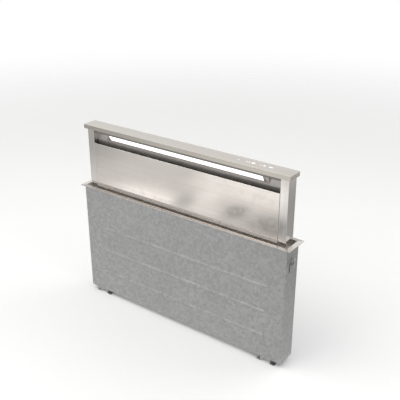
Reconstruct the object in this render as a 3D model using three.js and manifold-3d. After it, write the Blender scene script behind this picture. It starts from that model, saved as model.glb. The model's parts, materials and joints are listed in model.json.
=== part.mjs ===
// A downdraft vent for a kitchen worktop: a lift tower rises out of a flanged cut-out, draws air in
// through the slot under its cap, and hands it to a centrifugal blower on the back of its housing.
// Millimetres. X runs along the vent, Y to its back, Z up. The origin is the centre of the worktop
// opening, on the worktop's top face. The tower is modelled raised.

import * as THREE from 'three';
import { mergeVertices } from 'three/addons/utils/BufferGeometryUtils.js';
import Module from 'manifold-3d';

// ---------------------------------------------------------------- driving dimensions

// Gaps
const SEAT_GAP = 0.3; // between pieces that rest on or are screwed to each other
const RUNNING_GAP = 0.4; // round shafts and beside sliding faces
const WIPER_GAP = 0.5; // between the wiper seal and the tower
const CAP_SKIRT_GAP = 0.5; // between the cap's bottom lip and the tower

// Worktop flange
const OPENING_LENGTH = 866;
const OPENING_DEPTH = 66;
const FLANGE_END_OVERLAP = 17; // onto the worktop, past each end of the opening
const FLANGE_SIDE_OVERLAP = 14;
const FLANGE_THICKNESS = 2;
const COLLAR_WALL = 1.5;
const COLLAR_HEIGHT = 24;
const SEAL_THICKNESS = 3;
const SEAL_DROP = 16; // from the worktop plane down to the seal

// Lift tower
const RISE = 238; // travel, from flush with the flange to fully raised
const TOWER_END_SETBACK = 13; // from each end of the opening
const TOWER_FRONT_SETBACK = 14;
const TOWER_BACK_SETBACK = 6;
const TOWER_SKIRT = 90; // what stays below the worktop when raised
const TOWER_SHEET = 1.2;
const COLUMN_WIDTH = 29.5;
const PANEL_RETURN = 8;
const PANEL_REVEAL = 0.6; // the fine joint between a panel and its columns
const SLOT_HEIGHT = 53;

// Cap
const CAP_CLEARANCE = 4; // round the lowered cap, which closes the opening
const CAP_HEIGHT = 15;
const CAP_SHEET = 1.5;
const CAP_CORNER = 2;
const TOP_RAIL_SHEET = 1.5;
const TOUCH_BOARD_LENGTH = 170;
const TOUCH_BOARD_THICKNESS = 1.6;
const TOUCH_BOARD_FROM_END = 75; // from the end of the cap

// Light bar
const LIGHT_BAR_END_GAP = 47.5; // from each column
const LIGHT_BAR_SHEET = 1.2;
const LIGHT_BAR_BROW_SETBACK = 4.5; // its front behind the tower's front face
const LIGHT_BAR_BROW_HEIGHT = 12;
const LIGHT_BAR_LIP_SETBACK = 19;
const LIGHT_BAR_LIP_HEIGHT = 9;
const LIGHT_BAR_HEIGHT = 46;
const DIFFUSER_END_MARGIN = 21; // light bar left past each end of the diffuser
const DIFFUSER_THICKNESS = 3;
const DIFFUSER_MARGIN = 2.5; // incline left above and below the diffuser
const LED_BOARD_THICKNESS = 1.6;
const LED_COUNT = 14;
const LED_SIZE = 5;

// Grease filters and the tray they stand in
const FILTER_SETBACK = 17; // face of the filters behind the tower's front face
const FILTER_THICKNESS = 9;
const FILTER_FRAME = 12;
const FILTER_CORE = 5;
const TRAY_HEIGHT = 14;
const TRAY_WALL = 1.2;
const RAIL_HEIGHT = 10;

// Housing below the worktop
const HOUSING_SHEET = 1.5;
const HOUSING_RETURN = 12;
const HOUSING_BELOW_FLANGE = 3; // its top edge, clear of the worktop that the flange lies on

// Lift drive
const THREAD_RADIUS = 7;
const THREAD_ROOT = 5.4;
const THREAD_STARTS = 4;
const THREAD_LEAD = 30;
const THREAD_STEPS_PER_TURN = 12;
const NUT_CLEARANCE = 0.7;
const NUT_RADIUS = 11;
const NUT_BODY_HEIGHT = 16;
const NUT_FLANGE_THICKNESS = 4;
const SCREW_ABOVE_NUT = 14;
const JOURNAL_RADIUS = 4.8;
const DRIVE_CLEARANCE = 6; // lowered tower above the pulleys
const PULLEY_RADIUS = 11;
const PULLEY_FLANGE_RADIUS = 13.5;
const PULLEY_FLANGE_THICKNESS = 1.2;
const BELT_WIDTH = 9;
const BELT_THICKNESS = 1.5;
const GEAR_MODULE = 1.25;
const GEAR_TEETH = 36;
const PINION_TEETH = 16;
const GEAR_THICKNESS = 8;
const GEAR_BACKLASH = 0.3;
const BEARING_HEIGHT = 10;
const BEARING_SIZE = 28;
const CARRIER_SHEET = 2;
const CARRIER_RETURN = 12;
const MOTOR_RADIUS = 16;
const MOTOR_LENGTH = 56;
const MOTOR_GEARBOX_HEIGHT = 20;
const MOTOR_GEARBOX_CORNER = 4;
const MOTOR_BELL_INSET = 4; // of the end bell inside the motor's can
const MOTOR_BELL_HEIGHT = 3;
const MOTOR_SHAFT_RADIUS = 3;
const MOTOR_SHAFT_DEPTH = 14;
const MOTOR_CLEARANCE = 6; // lift motor above the housing floor

// Guides
const GUIDE_RAIL_WIDTH = 14;
const GUIDE_RAIL_THICKNESS = 7;
const GUIDE_SHOE_HEIGHT = 56;
const GUIDE_SHOE_WIDTH = 30;

// Limit switches
const SWITCH_LENGTH = 20;
const SWITCH_HEIGHT = 10;
const SWITCH_THICKNESS = 5.5;
const SWITCH_LEVER_WIDTH = 3;
const SWITCH_LEVER_LIFT = 1.2;

// Blower on the back of the housing
const BLOWER_X = 40;
const BLOWER_Z = -235;
const SCROLL_WIDTH = 84;
const SCROLL_SHEET = 1.5;
const SCROLL_FLANGE = 8;
const SCROLL_START_RADIUS = 98;
const SCROLL_END_RADIUS = 162;
const SCROLL_TONGUE_ANGLE = -150; // degrees, from +X towards +Z
const SCROLL_STEPS = 22;
const SCROLL_MOUTH_REACH = 152; // from the blower's axis to the mouth
const INLET_RADIUS = 70;
const INLET_LIP = 10;
const IMPELLER_RADIUS = 88;
const IMPELLER_INNER_RADIUS = 72;
const IMPELLER_BLADES = 26;
const IMPELLER_GAP = 6; // from the impeller to the scroll's side plates
const BLADE_THICKNESS = 1.6;
const BLADE_BEND = 0.16; // radians, towards the way the impeller turns
const HUB_RADIUS = 14;
const HUB_LENGTH = 10;
const FAN_SHAFT_RADIUS = 4;
const FAN_MOTOR_RADIUS = 46;
const FAN_MOTOR_FLANGE_RADIUS = 56;
const FAN_MOTOR_FLANGE_THICKNESS = 3;
const FAN_MOTOR_LENGTH = 48;
const FAN_MOTOR_SHOULDER = 6;
const FAN_MOTOR_DISH = 3;
const FAN_SHAFT_DEPTH = 12; // into the motor

// Outlet and its non-return flaps
const DUCT_RADIUS = 75;
const DUCT_WALL = 1.5;
const DUCT_CLEAR_OF_HOUSING = 7;
const TRANSITION_LENGTH = 70;
const SPIGOT_LENGTH = 48;
const FLAP_FROM_END = 26;
const FLAP_GAP = 1.2;
const FLAP_THICKNESS = 1.5;
const FLAP_SPINDLE_RADIUS = 2;
const FLAP_SPINDLE_OFFSET = 4; // of each spindle from the duct's centre line

// Control box on the back of the housing
const CONTROL_FROM_END = 34.3; // of the housing
const CONTROL_TOP = -150;
const CONTROL_CORNER = 4;
const CONTROL_LID_STEP = 2;
const CONTROL_LENGTH = 140;
const CONTROL_HEIGHT = 170;
const CONTROL_DEPTH = 44;
const CONTROL_WALL = 2;
const BOARD_THICKNESS = 1.6;
const BOARD_STANDOFF = 6;
const BOARD_POST_RADIUS = 3;
const GLAND_RADIUS = 9;
const GLAND_NECK_INSET = 2;
const GLAND_BORE = 4;
const GLAND_LENGTH = 14; // below the box
const GLAND_THREAD = 3; // past the wall, inside the box

// Worktop clamps and feet
const CLAMP_WIDTH = 30;
const CLAMP_SHEET = 2;
const CLAMP_REACH = 12;
const CLAMP_DROP = 62;
const CLAMP_HEIGHT = 30;
const CLAMP_SCREW_RADIUS = 2.5;
const CLAMP_PAD_RADIUS = 4.5;
const CLAMP_PAD_THICKNESS = 4;
const CLAMP_SCREW_HEAD = 3.5;
const WORKTOP_THICKNESS = 40;
const FOOT_HEIGHT = 18;
const FOOT_WIDTH = 40;
const FOOT_TOE = 16;
const FOOT_SHEET = 2;
const FOOT_FROM_END = 40;

// ---------------------------------------------------------------- worked-out places

const span = (centre, length) => [centre - length / 2, centre + length / 2];
const radians = THREE.MathUtils.degToRad;

// Opening and housing walls
const [openingFront, openingBack] = span(0, OPENING_DEPTH);
const flangeLength = OPENING_LENGTH + 2 * FLANGE_END_OVERLAP;
const flangeDepth = OPENING_DEPTH + 2 * FLANGE_SIDE_OVERLAP;
const housingInnerLength = OPENING_LENGTH + 2 * (COLLAR_WALL + SEAT_GAP);
const housingInnerDepth = OPENING_DEPTH + 2 * (COLLAR_WALL + SEAT_GAP);
const housingInnerEnd = housingInnerLength / 2;
const [housingInnerFront, housingInnerBack] = span(0, housingInnerDepth);
const housingEnd = housingInnerEnd + HOUSING_SHEET;
const housingFront = housingInnerFront - HOUSING_SHEET;
const housingBack = housingInnerBack + HOUSING_SHEET;

// Tower
const towerFront = openingFront + TOWER_FRONT_SETBACK;
const towerBack = openingBack - TOWER_BACK_SETBACK;
const towerDepth = towerBack - towerFront;
const towerMiddle = (towerFront + towerBack) / 2;
const towerLength = OPENING_LENGTH - 2 * TOWER_END_SETBACK;
const towerEnd = towerLength / 2;
const columnInside = towerEnd - COLUMN_WIDTH;
const columnMiddle = towerEnd - COLUMN_WIDTH / 2;
const towerBottom = -TOWER_SKIRT;
const panelEnd = columnInside - PANEL_REVEAL;
const panelBackFace = towerFront + TOWER_SHEET;
const backPanelFace = towerBack - TOWER_SHEET;

// Cap, with the top rail that carries it
const capLength = OPENING_LENGTH - 2 * CAP_CLEARANCE;
const capDepth = OPENING_DEPTH - 2 * CAP_CLEARANCE;
const capTop = FLANGE_THICKNESS + RISE;
const capBottom = capTop - CAP_HEIGHT;
const capInnerTop = capTop - CAP_SHEET;
const columnTop = capBottom + CAP_SHEET;
const topRailBottom = columnTop + SEAT_GAP;
const topRailTop = capInnerTop - SEAT_GAP - TOUCH_BOARD_THICKNESS - SEAT_GAP;
const panelTop = capBottom - SLOT_HEIGHT;

// Light bar: brow, incline and lip of its front
const lightBarLength = 2 * (columnInside - LIGHT_BAR_END_GAP);
const diffuserLength = lightBarLength - 2 * DIFFUSER_END_MARGIN;
const lightBarTop = topRailBottom - SEAT_GAP;
const browY = towerFront + LIGHT_BAR_BROW_SETBACK;
const lipY = towerFront + LIGHT_BAR_LIP_SETBACK;
const browZ = lightBarTop - LIGHT_BAR_BROW_HEIGHT;
const lightBarBottom = lightBarTop - LIGHT_BAR_HEIGHT;
const lipZ = lightBarBottom + LIGHT_BAR_LIP_HEIGHT;
const lightBarBack = backPanelFace - SEAT_GAP;
const inclineLength = Math.hypot(lipY - browY, browZ - lipZ);
const inclineAngle = Math.atan2(browZ - lipZ, lipY - browY);

// Filters, tray and lower rail
const railTop = towerBottom + RAIL_HEIGHT;
const trayBottom = railTop + SEAT_GAP;
const filterFront = towerFront + FILTER_SETBACK;
const filterBack = filterFront + FILTER_THICKNESS;
const filterBottom = trayBottom + TRAY_WALL + SEAT_GAP;
const filterTop = lightBarBottom - SEAT_GAP;

// Lift drive, from the lowered tower down
const nutBottom = towerBottom - SEAT_GAP - NUT_FLANGE_THICKNESS;
const pulleyTop = nutBottom - RISE - DRIVE_CLEARANCE;
const pulleyHeight = BELT_WIDTH + 2 * (RUNNING_GAP + PULLEY_FLANGE_THICKNESS);
const pulleyBottom = pulleyTop - pulleyHeight;
const beltTop = pulleyTop - PULLEY_FLANGE_THICKNESS - RUNNING_GAP;
const gearTop = pulleyBottom - SEAT_GAP;
const gearBottom = gearTop - GEAR_THICKNESS;
const bearingTop = gearBottom - SEAT_GAP;
const bearingBottom = bearingTop - BEARING_HEIGHT;
const carrierTop = bearingBottom - SEAT_GAP;
const carrierBottom = carrierTop - CARRIER_SHEET;
const motorTop = carrierBottom - SEAT_GAP;
const motorBottom = motorTop - MOTOR_LENGTH;
const housingFloor = motorBottom - MOTOR_CLEARANCE; // top of the bottom sheet
const housingBottom = housingFloor - HOUSING_SHEET;
const screwTop = towerBottom + NUT_BODY_HEIGHT + SCREW_ABOVE_NUT;
const threadBottom = pulleyTop + SEAT_GAP;
const journalBottom = carrierBottom;
const gearDistance = (GEAR_MODULE * (GEAR_TEETH + PINION_TEETH)) / 2;
const pinionX = columnMiddle - gearDistance;

// Blower
const scrollFrontPlate = housingBack + SEAT_GAP; // front face of the front plate
const scrollFront = scrollFrontPlate + SCROLL_SHEET + SEAT_GAP;
const scrollBack = scrollFront + SCROLL_WIDTH;
const scrollBackPlate = scrollBack + SEAT_GAP;
const fanMotorFront = scrollBackPlate + SCROLL_SHEET + SEAT_GAP;
const mouthX = BLOWER_X - SCROLL_MOUTH_REACH;
const mouthTop = BLOWER_Z + SCROLL_START_RADIUS * Math.sin(radians(SCROLL_TONGUE_ANGLE));
const mouthBottom = BLOWER_Z - SCROLL_END_RADIUS;
const transitionMouthX = mouthX - SEAT_GAP;
const spigotX = transitionMouthX - TRANSITION_LENGTH;
const spigotEnd = spigotX - SPIGOT_LENGTH;
const ductY = housingBack + DUCT_CLEAR_OF_HOUSING + DUCT_RADIUS;
const ductZ = (mouthTop + mouthBottom) / 2;
const flapX = spigotEnd + FLAP_FROM_END;

// ---------------------------------------------------------------- shapes

const wasm = await Module();
wasm.setup();

// A three.js geometry as a solid that can be joined and cut
function solid(geometry) {
  const bare = geometry.index ? geometry.toNonIndexed() : geometry.clone();
  bare.deleteAttribute('normal');
  bare.deleteAttribute('uv');
  const merged = mergeVertices(bare, 1e-4);
  const corners = merged.index.array;
  const kept = [];
  for (let i = 0; i < corners.length; i += 3) {
    const [a, b, c] = corners.slice(i, i + 3);
    if (a !== b && b !== c && c !== a) kept.push(a, b, c); // leaves out a turned pole's empty faces
  }
  return new wasm.Manifold(new wasm.Mesh({
    numProp: 3,
    vertProperties: merged.attributes.position.array,
    triVerts: Uint32Array.from(kept),
  }));
}

function box([x0, x1], [y0, y1], [z0, z1]) {
  const geometry = new THREE.BoxGeometry(x1 - x0, y1 - y0, z1 - z0);
  return solid(geometry.translate((x0 + x1) / 2, (y0 + y1) / 2, (z0 + z1) / 2));
}

// Turns that carry an outline's plane and extrusion to the axis it is pushed along
const ALONG = {
  x: new THREE.Matrix4().makeBasis(
    new THREE.Vector3(0, 1, 0), new THREE.Vector3(0, 0, 1), new THREE.Vector3(1, 0, 0)),
  y: new THREE.Matrix4().makeBasis(
    new THREE.Vector3(0, 0, 1), new THREE.Vector3(1, 0, 0), new THREE.Vector3(0, 1, 0)),
  z: new THREE.Matrix4(),
};

// An outline pushed along an axis. Its points are (y, z) along x, (z, x) along y and (x, y) along z.
function prism(axis, points, [from, to]) {
  const shape = new THREE.Shape(points.map(([a, b]) => new THREE.Vector2(a, b)));
  const geometry = new THREE.ExtrudeGeometry(shape, { depth: to - from, bevelEnabled: false });
  return solid(geometry.translate(0, 0, from).applyMatrix4(ALONG[axis]));
}

function circle(radius, steps, [u, v] = [0, 0]) {
  return Array.from({ length: steps }, (_, i) => {
    const angle = (2 * Math.PI * i) / steps;
    return [u + radius * Math.cos(angle), v + radius * Math.sin(angle)];
  });
}

// A round bar along an axis; its centre is given in the outline's own order
const rod = (axis, radius, centre, length, steps = 20) =>
  prism(axis, circle(radius, steps, centre), length);

// A rectangle with round corners
function roundedRectangle([a0, a1], [b0, b1], radius, steps = 3) {
  const corners = [[a1, b1, 0], [a0, b1, 90], [a0, b0, 180], [a1, b0, 270]];
  return corners.flatMap(([a, b, start]) =>
    Array.from({ length: steps + 1 }, (_, i) => {
      const angle = radians(start + (90 * i) / steps);
      const inward = [Math.sign(a0 + a1 - 2 * a), Math.sign(b0 + b1 - 2 * b)];
      return [
        a + radius * (inward[0] + Math.cos(angle)),
        b + radius * (inward[1] + Math.sin(angle)),
      ];
    }));
}

// A profile of (radius, height) turned about Z, then laid along an axis with its foot at a point
function turned(profile, axis, [x, y, z], steps = 24) {
  const geometry = new THREE.LatheGeometry(profile.map(([r, h]) => new THREE.Vector2(r, h)), steps);
  geometry.rotateX(Math.PI / 2);
  geometry.applyMatrix4(ALONG[axis]);
  return solid(geometry.translate(x, y, z));
}

const join = (...pieces) => wasm.Manifold.union(pieces);
const cut = (piece, ...tools) => tools.reduce((left, tool) => left.subtract(tool), piece);
const mirrored = (piece) => piece.mirror([1, 0, 0]);

// ---------------------------------------------------------------- materials

const finish = (color, roughness, metalness) =>
  new THREE.MeshStandardMaterial({ color, roughness, metalness });
const stainless = finish(0xcfc8c1, 0.34, 1);
const galvanised = finish(0xaeb2b4, 0.48, 1);
const aluminium = finish(0xb9bcbe, 0.4, 1);
const steel = finish(0x8d9092, 0.38, 1);
const blackSteel = finish(0x2d2e30, 0.55, 0.6);
const darkRubber = finish(0x1b1b1c, 0.85, 0);
const whiteAcetal = finish(0xe9e7e0, 0.5, 0);
const blackPlastic = finish(0x1e1f21, 0.6, 0);
const greyPlastic = finish(0x8b8e90, 0.6, 0);
const frostedWhite = finish(0xfdfcf8, 0.6, 0);
const circuitGreen = finish(0x1f5a3a, 0.5, 0.1);
const brass = finish(0xb8954f, 0.4, 1);

const vent = new THREE.Group();

function part(name, piece, material, group = vent) {
  const { vertProperties, triVerts } = piece.getMesh();
  const geometry = new THREE.BufferGeometry();
  geometry.setAttribute('position', new THREE.BufferAttribute(vertProperties, 3));
  geometry.setIndex(new THREE.BufferAttribute(triVerts, 1));
  geometry.computeVertexNormals();
  const mesh = new THREE.Mesh(geometry, material);
  mesh.name = name;
  group.add(mesh);
}

// One piece on the right, and its mirror image on the left
function pair(name, piece, material, group = vent) {
  part(`${name}_right`, piece, material, group);
  part(`${name}_left`, mirrored(piece), material, group);
}

// ---------------------------------------------------------------- worktop flange and seal

function worktopFlange() {
  const collarEnd = OPENING_LENGTH / 2 + COLLAR_WALL;
  const collarSide = OPENING_DEPTH / 2 + COLLAR_WALL;
  const outline = roundedRectangle(span(0, flangeLength), span(0, flangeDepth), COLLAR_WALL);
  const plate = prism('z', outline, [0, FLANGE_THICKNESS]);
  const collar = box([-collarEnd, collarEnd], [-collarSide, collarSide],
    [-COLLAR_HEIGHT, FLANGE_THICKNESS / 2]);
  const opening = box(span(0, OPENING_LENGTH), span(0, OPENING_DEPTH),
    [-COLLAR_HEIGHT - 1, FLANGE_THICKNESS + 1]);
  return cut(join(plate, collar), opening);
}

function wiperSeal() {
  const ring = box(span(0, OPENING_LENGTH - 2 * SEAT_GAP), span(0, OPENING_DEPTH - 2 * SEAT_GAP),
    [-SEAL_DROP - SEAL_THICKNESS, -SEAL_DROP]);
  const passage = box(span(0, towerLength + 2 * WIPER_GAP),
    [towerFront - WIPER_GAP, towerBack + WIPER_GAP], [-SEAL_DROP - SEAL_THICKNESS - 1, -SEAL_DROP + 1]);
  return cut(ring, passage);
}

part('worktop_flange', worktopFlange(), stainless);
part('wiper_seal', wiperSeal(), darkRubber);

// ---------------------------------------------------------------- housing

const housingTop = -HOUSING_BELOW_FLANGE;

// Front and both ends folded from one sheet, with narrow returns that the back is screwed to
function housingShell() {
  const backEdge = housingInnerBack - SEAT_GAP;
  const outer = box([-housingEnd, housingEnd], [housingFront, backEdge], [housingBottom, housingTop]);
  const hollow = box([-housingInnerEnd, housingInnerEnd], [housingInnerFront, backEdge - HOUSING_SHEET],
    [housingBottom - 1, housingTop + 1]);
  const backWay = box(span(0, 2 * (housingInnerEnd - HOUSING_RETURN)), [housingInnerFront, backEdge + 1],
    [housingBottom - 1, housingTop + 1]);
  const collarWay = box([-housingInnerEnd, housingInnerEnd], [housingInnerFront, backEdge + 1],
    [-COLLAR_HEIGHT - SEAT_GAP, housingTop + 1]);
  return cut(outer, hollow, backWay, collarWay);
}

function housingBackSheet() {
  const sheet = box([-housingEnd, housingEnd], [housingInnerBack, housingBack],
    [housingBottom, housingTop]);
  const inlet = rod('y', INLET_RADIUS, [BLOWER_Z, BLOWER_X], [housingInnerBack - 1, housingBack + 1], 32);
  return cut(sheet, inlet);
}

// A shallow tray that closes the housing, its edges turned up inside the walls
function housingBottomTray() {
  const end = housingInnerEnd - HOUSING_SHEET - SEAT_GAP;
  const sides = [housingInnerFront + SEAT_GAP, housingInnerBack - 2 * SEAT_GAP - HOUSING_SHEET];
  const tray = box([-end, end], sides, [housingBottom, housingFloor + CARRIER_RETURN / 2]);
  const hollow = box([-end + HOUSING_SHEET, end - HOUSING_SHEET],
    [sides[0] + HOUSING_SHEET, sides[1] - HOUSING_SHEET], [housingFloor, housingFloor + CARRIER_RETURN]);
  return cut(tray, hollow);
}

part('housing_shell', housingShell(), galvanised);
part('housing_back', housingBackSheet(), galvanised);
part('housing_bottom', housingBottomTray(), galvanised);

// ---------------------------------------------------------------- lift tower

const tower = new THREE.Group();
vent.add(tower);

const towerSides = [towerFront, towerBack];

// A rectangular tube; the lift screw stands inside it
function column() {
  const outline = roundedRectangle([columnInside, towerEnd], towerSides, TOWER_SHEET);
  const bore = box([columnInside + TOWER_SHEET, towerEnd - TOWER_SHEET],
    [towerFront + TOWER_SHEET, towerBack - TOWER_SHEET], [towerBottom - 1, columnTop + 1]);
  return cut(prism('z', outline, [towerBottom, columnTop]), bore);
}

// A sheet with both ends turned in beside the columns; `depth` points into the tower
function panel(face, depth, top) {
  const inward = Math.sign(depth);
  const [y0, y1] = [face, face + depth].sort((a, b) => a - b);
  const backFace = face + inward * TOWER_SHEET;
  const hollow = [backFace, face + 2 * depth].sort((a, b) => a - b);
  return cut(box([-panelEnd, panelEnd], [y0, y1], [towerBottom, top]),
    box(span(0, 2 * (panelEnd - TOWER_SHEET)), hollow, [towerBottom - 1, top + 1]));
}

// A tray turned upside down, with a lip below that closes in on the tower
function cap() {
  const outline = roundedRectangle(span(0, capLength), span(0, capDepth), CAP_CORNER);
  const innerEnd = capLength / 2 - CAP_SHEET;
  const innerSide = capDepth / 2 - CAP_SHEET;
  const hollow = box([-innerEnd, innerEnd], [-innerSide, innerSide], [capBottom + CAP_SHEET, capInnerTop]);
  const mouth = box(span(0, towerLength + 2 * CAP_SKIRT_GAP),
    [towerFront - CAP_SKIRT_GAP, towerBack + CAP_SKIRT_GAP], [capBottom - 1, capInnerTop]);
  return cut(prism('z', outline, [capBottom, capTop]), hollow, mouth);
}

// A channel across the column tops, open upwards under the cap
function topRail() {
  const sides = [towerFront + SEAT_GAP, towerBack - SEAT_GAP];
  const rail = box(span(0, towerLength - 2 * SEAT_GAP), sides, [topRailBottom, topRailTop]);
  const hollow = box(span(0, towerLength), [sides[0] + TOP_RAIL_SHEET, sides[1] - TOP_RAIL_SHEET],
    [topRailBottom + TOP_RAIL_SHEET, topRailTop + 1]);
  return cut(rail, hollow);
}

// The board of the touch keys, up against the cap
function touchBoard() {
  const end = capLength / 2 - TOUCH_BOARD_FROM_END;
  return box([end - TOUCH_BOARD_LENGTH, end], [towerFront + SEAT_GAP, towerBack - SEAT_GAP],
    [topRailTop + SEAT_GAP, topRailTop + SEAT_GAP + TOUCH_BOARD_THICKNESS]);
}

// The light bar's front from its top down: brow, incline, lip, then its floor to the back
const lightBarOutline = [
  [lightBarBack, lightBarTop], [browY, lightBarTop], [browY, browZ], [lipY, lipZ],
  [lipY, lightBarBottom], [lightBarBack, lightBarBottom],
];

// A slab that lies on the incline; `out` is its outer face's distance in front of it
function onIncline(length, margin, out, thickness) {
  const slab = box(span(0, length), [-out, thickness - out], [margin, inclineLength - margin]);
  const lean = 90 - THREE.MathUtils.radToDeg(inclineAngle);
  return slab.rotate([lean, 0, 0]).translate([0, lipY, lipZ]);
}

function lightBar() {
  const sheet = LIGHT_BAR_SHEET;
  const ends = span(0, lightBarLength);
  const inside = span(0, lightBarLength - 2 * sheet);
  const across = sheet / Math.sin(inclineAngle); // the incline's sheet, measured along Y
  const hollow = prism('x', [
    [lightBarBack + 1, lightBarTop - sheet], [browY + sheet, lightBarTop - sheet],
    [browY + sheet, browZ + sheet / 2 - across / 4], [lipY + across, lipZ],
    [lipY + across, lightBarBottom + sheet], [lightBarBack + 1, lightBarBottom + sheet],
  ].reverse(), inside);
  const window = onIncline(diffuserLength + 2 * SEAT_GAP, DIFFUSER_MARGIN - SEAT_GAP, 2, 6);
  return cut(prism('x', [...lightBarOutline].reverse(), ends), hollow, window);
}

const diffuser = () => onIncline(diffuserLength, DIFFUSER_MARGIN, 0, DIFFUSER_THICKNESS);

function ledBoard() {
  const face = -DIFFUSER_THICKNESS - SEAT_GAP;
  const board = onIncline(diffuserLength, 2 * DIFFUSER_MARGIN, face - 1, LED_BOARD_THICKNESS);
  const pitch = diffuserLength / LED_COUNT;
  const leds = Array.from({ length: LED_COUNT }, (_, i) => {
    const middle = -diffuserLength / 2 + pitch * (i + 0.5);
    return onIncline(LED_SIZE, inclineLength / 2 - LED_SIZE / 2, face, 1.5).translate([middle, 0, 0]);
  });
  return join(board, ...leds);
}

// A frame round a thinner mesh, one for each half of the tower
function greaseFilter() {
  const ends = [SEAT_GAP, panelEnd - TOWER_SHEET - 2 * SEAT_GAP];
  const heights = [filterBottom, filterTop];
  const frame = box(ends, [filterFront, filterBack], heights);
  const inner = (depths) => box([ends[0] + FILTER_FRAME, ends[1] - FILTER_FRAME], depths,
    [heights[0] + FILTER_FRAME, heights[1] - FILTER_FRAME]);
  const recess = (FILTER_THICKNESS - FILTER_CORE) / 2;
  return cut(frame, inner([filterFront - 1, filterFront + recess]),
    inner([filterBack - recess, filterBack + 1]));
}

// Catches the grease that runs off the filters, which stand in it
function greaseTray() {
  const end = panelEnd - TOWER_SHEET - SEAT_GAP;
  const sides = [panelBackFace + SEAT_GAP, filterBack + SEAT_GAP + TRAY_WALL];
  const tray = box([-end, end], sides, [trayBottom, trayBottom + TRAY_HEIGHT]);
  const hollow = box([-end + TRAY_WALL, end - TRAY_WALL], [sides[0] + TRAY_WALL, sides[1] - TRAY_WALL],
    [trayBottom + TRAY_WALL, trayBottom + TRAY_HEIGHT + 1]);
  const filterWay = box([-end - 1, end + 1], [filterFront - SEAT_GAP, filterBack + SEAT_GAP],
    [filterBottom - SEAT_GAP, trayBottom + TRAY_HEIGHT + 1]);
  return cut(tray, hollow, filterWay);
}

function lowerRail() {
  const end = panelEnd - TOWER_SHEET - SEAT_GAP;
  return box([-end, end], [panelBackFace + SEAT_GAP, filterBack], [towerBottom, railTop]);
}

pair('column', column(), stainless, tower);
part('front_panel', panel(towerFront, PANEL_RETURN, panelTop), stainless, tower);
part('back_panel', panel(towerBack, -PANEL_RETURN, columnTop), stainless, tower);
part('top_cap', cap(), stainless, tower);
part('top_rail', topRail(), galvanised, tower);
part('touch_board', touchBoard(), circuitGreen, tower);
part('light_bar', lightBar(), stainless, tower);
part('led_diffuser', diffuser(), frostedWhite, tower);
part('led_board', ledBoard(), circuitGreen, tower);
pair('grease_filter', greaseFilter(), aluminium, tower);
part('grease_tray', greaseTray(), stainless, tower);
part('lower_rail', lowerRail(), galvanised, tower);

// ---------------------------------------------------------------- guides

const railInner = housingInnerEnd - SEAT_GAP - GUIDE_RAIL_THICKNESS;

// A bar down each end wall, gripped by the shoe on the column's foot
function guideRail() {
  return box([railInner, housingInnerEnd - SEAT_GAP], span(towerMiddle, GUIDE_RAIL_WIDTH),
    [pulleyTop, -COLLAR_HEIGHT - SEAT_GAP]);
}

function guideShoe() {
  const heights = [towerBottom, towerBottom + GUIDE_SHOE_HEIGHT];
  const block = box([towerEnd + SEAT_GAP, housingInnerEnd - 2 * RUNNING_GAP],
    span(towerMiddle, GUIDE_SHOE_WIDTH), heights);
  const groove = box([railInner - RUNNING_GAP, housingInnerEnd],
    span(towerMiddle, GUIDE_RAIL_WIDTH + 2 * RUNNING_GAP), [heights[0] - 1, heights[1] + 1]);
  return cut(block, groove);
}

pair('guide_rail', guideRail(), steel);
pair('guide_shoe', guideShoe(), whiteAcetal, tower);

// ---------------------------------------------------------------- lift drive

const RIGHT = 1;
const LEFT = -1;

// The thread's cross-section: one crest and one root for each start
function threadSection(crest, root) {
  return Array.from({ length: 2 * THREAD_STARTS }, (_, i) => {
    const angle = (Math.PI * i) / THREAD_STARTS;
    const radius = i % 2 ? root : crest;
    return [radius * Math.cos(angle), radius * Math.sin(angle)];
  });
}

// The section pushed up and turned with the lead, from its own height so that every thread keeps step
function twisted(section, [from, to]) {
  const shape = new THREE.Shape(section.map(([a, b]) => new THREE.Vector2(a, b)));
  const steps = Math.ceil(((to - from) / THREAD_LEAD) * THREAD_STEPS_PER_TURN);
  const geometry = new THREE.ExtrudeGeometry(shape, { depth: to - from, steps, bevelEnabled: false });
  geometry.translate(0, 0, from);
  const place = geometry.attributes.position;
  for (let i = 0; i < place.count; i++) {
    const turn = (2 * Math.PI * place.getZ(i)) / THREAD_LEAD;
    const [x, y] = [place.getX(i), place.getY(i)];
    place.setX(i, x * Math.cos(turn) - y * Math.sin(turn));
    place.setY(i, x * Math.sin(turn) + y * Math.cos(turn));
  }
  return solid(geometry);
}

// Drive pieces are made about Z and moved to a screw. Both screws have the same hand, so that one belt
// lifts both ends, and the left one is a copy and not a mirror image.
const atScrew = (piece, side) => piece.translate([side * columnMiddle, towerMiddle, 0]);

function atBothScrews(name, piece, material, group = vent) {
  part(`${name}_right`, atScrew(piece, RIGHT), material, group);
  part(`${name}_left`, atScrew(piece, LEFT), material, group);
}

function leadScrew() {
  const thread = twisted(threadSection(THREAD_RADIUS, THREAD_ROOT), [threadBottom, screwTop]);
  const journal = rod('z', JOURNAL_RADIUS, [0, 0], [journalBottom, threadBottom + 1], 24);
  return join(thread, journal);
}

// A flange under the column's foot with a threaded body standing inside the tube
function liftNut() {
  const flange = box(span(0, COLUMN_WIDTH), span(0, towerDepth),
    [nutBottom, nutBottom + NUT_FLANGE_THICKNESS]);
  const body = rod('z', NUT_RADIUS, [0, 0], [nutBottom + 1, towerBottom + NUT_BODY_HEIGHT], 24);
  const thread = twisted(threadSection(THREAD_RADIUS + NUT_CLEARANCE, THREAD_ROOT + NUT_CLEARANCE),
    [nutBottom - 1, towerBottom + NUT_BODY_HEIGHT + 1]);
  return cut(join(flange, body), thread);
}

const journalBore = (heights) => rod('z', JOURNAL_RADIUS + RUNNING_GAP, [0, 0], heights, 24);

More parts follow.
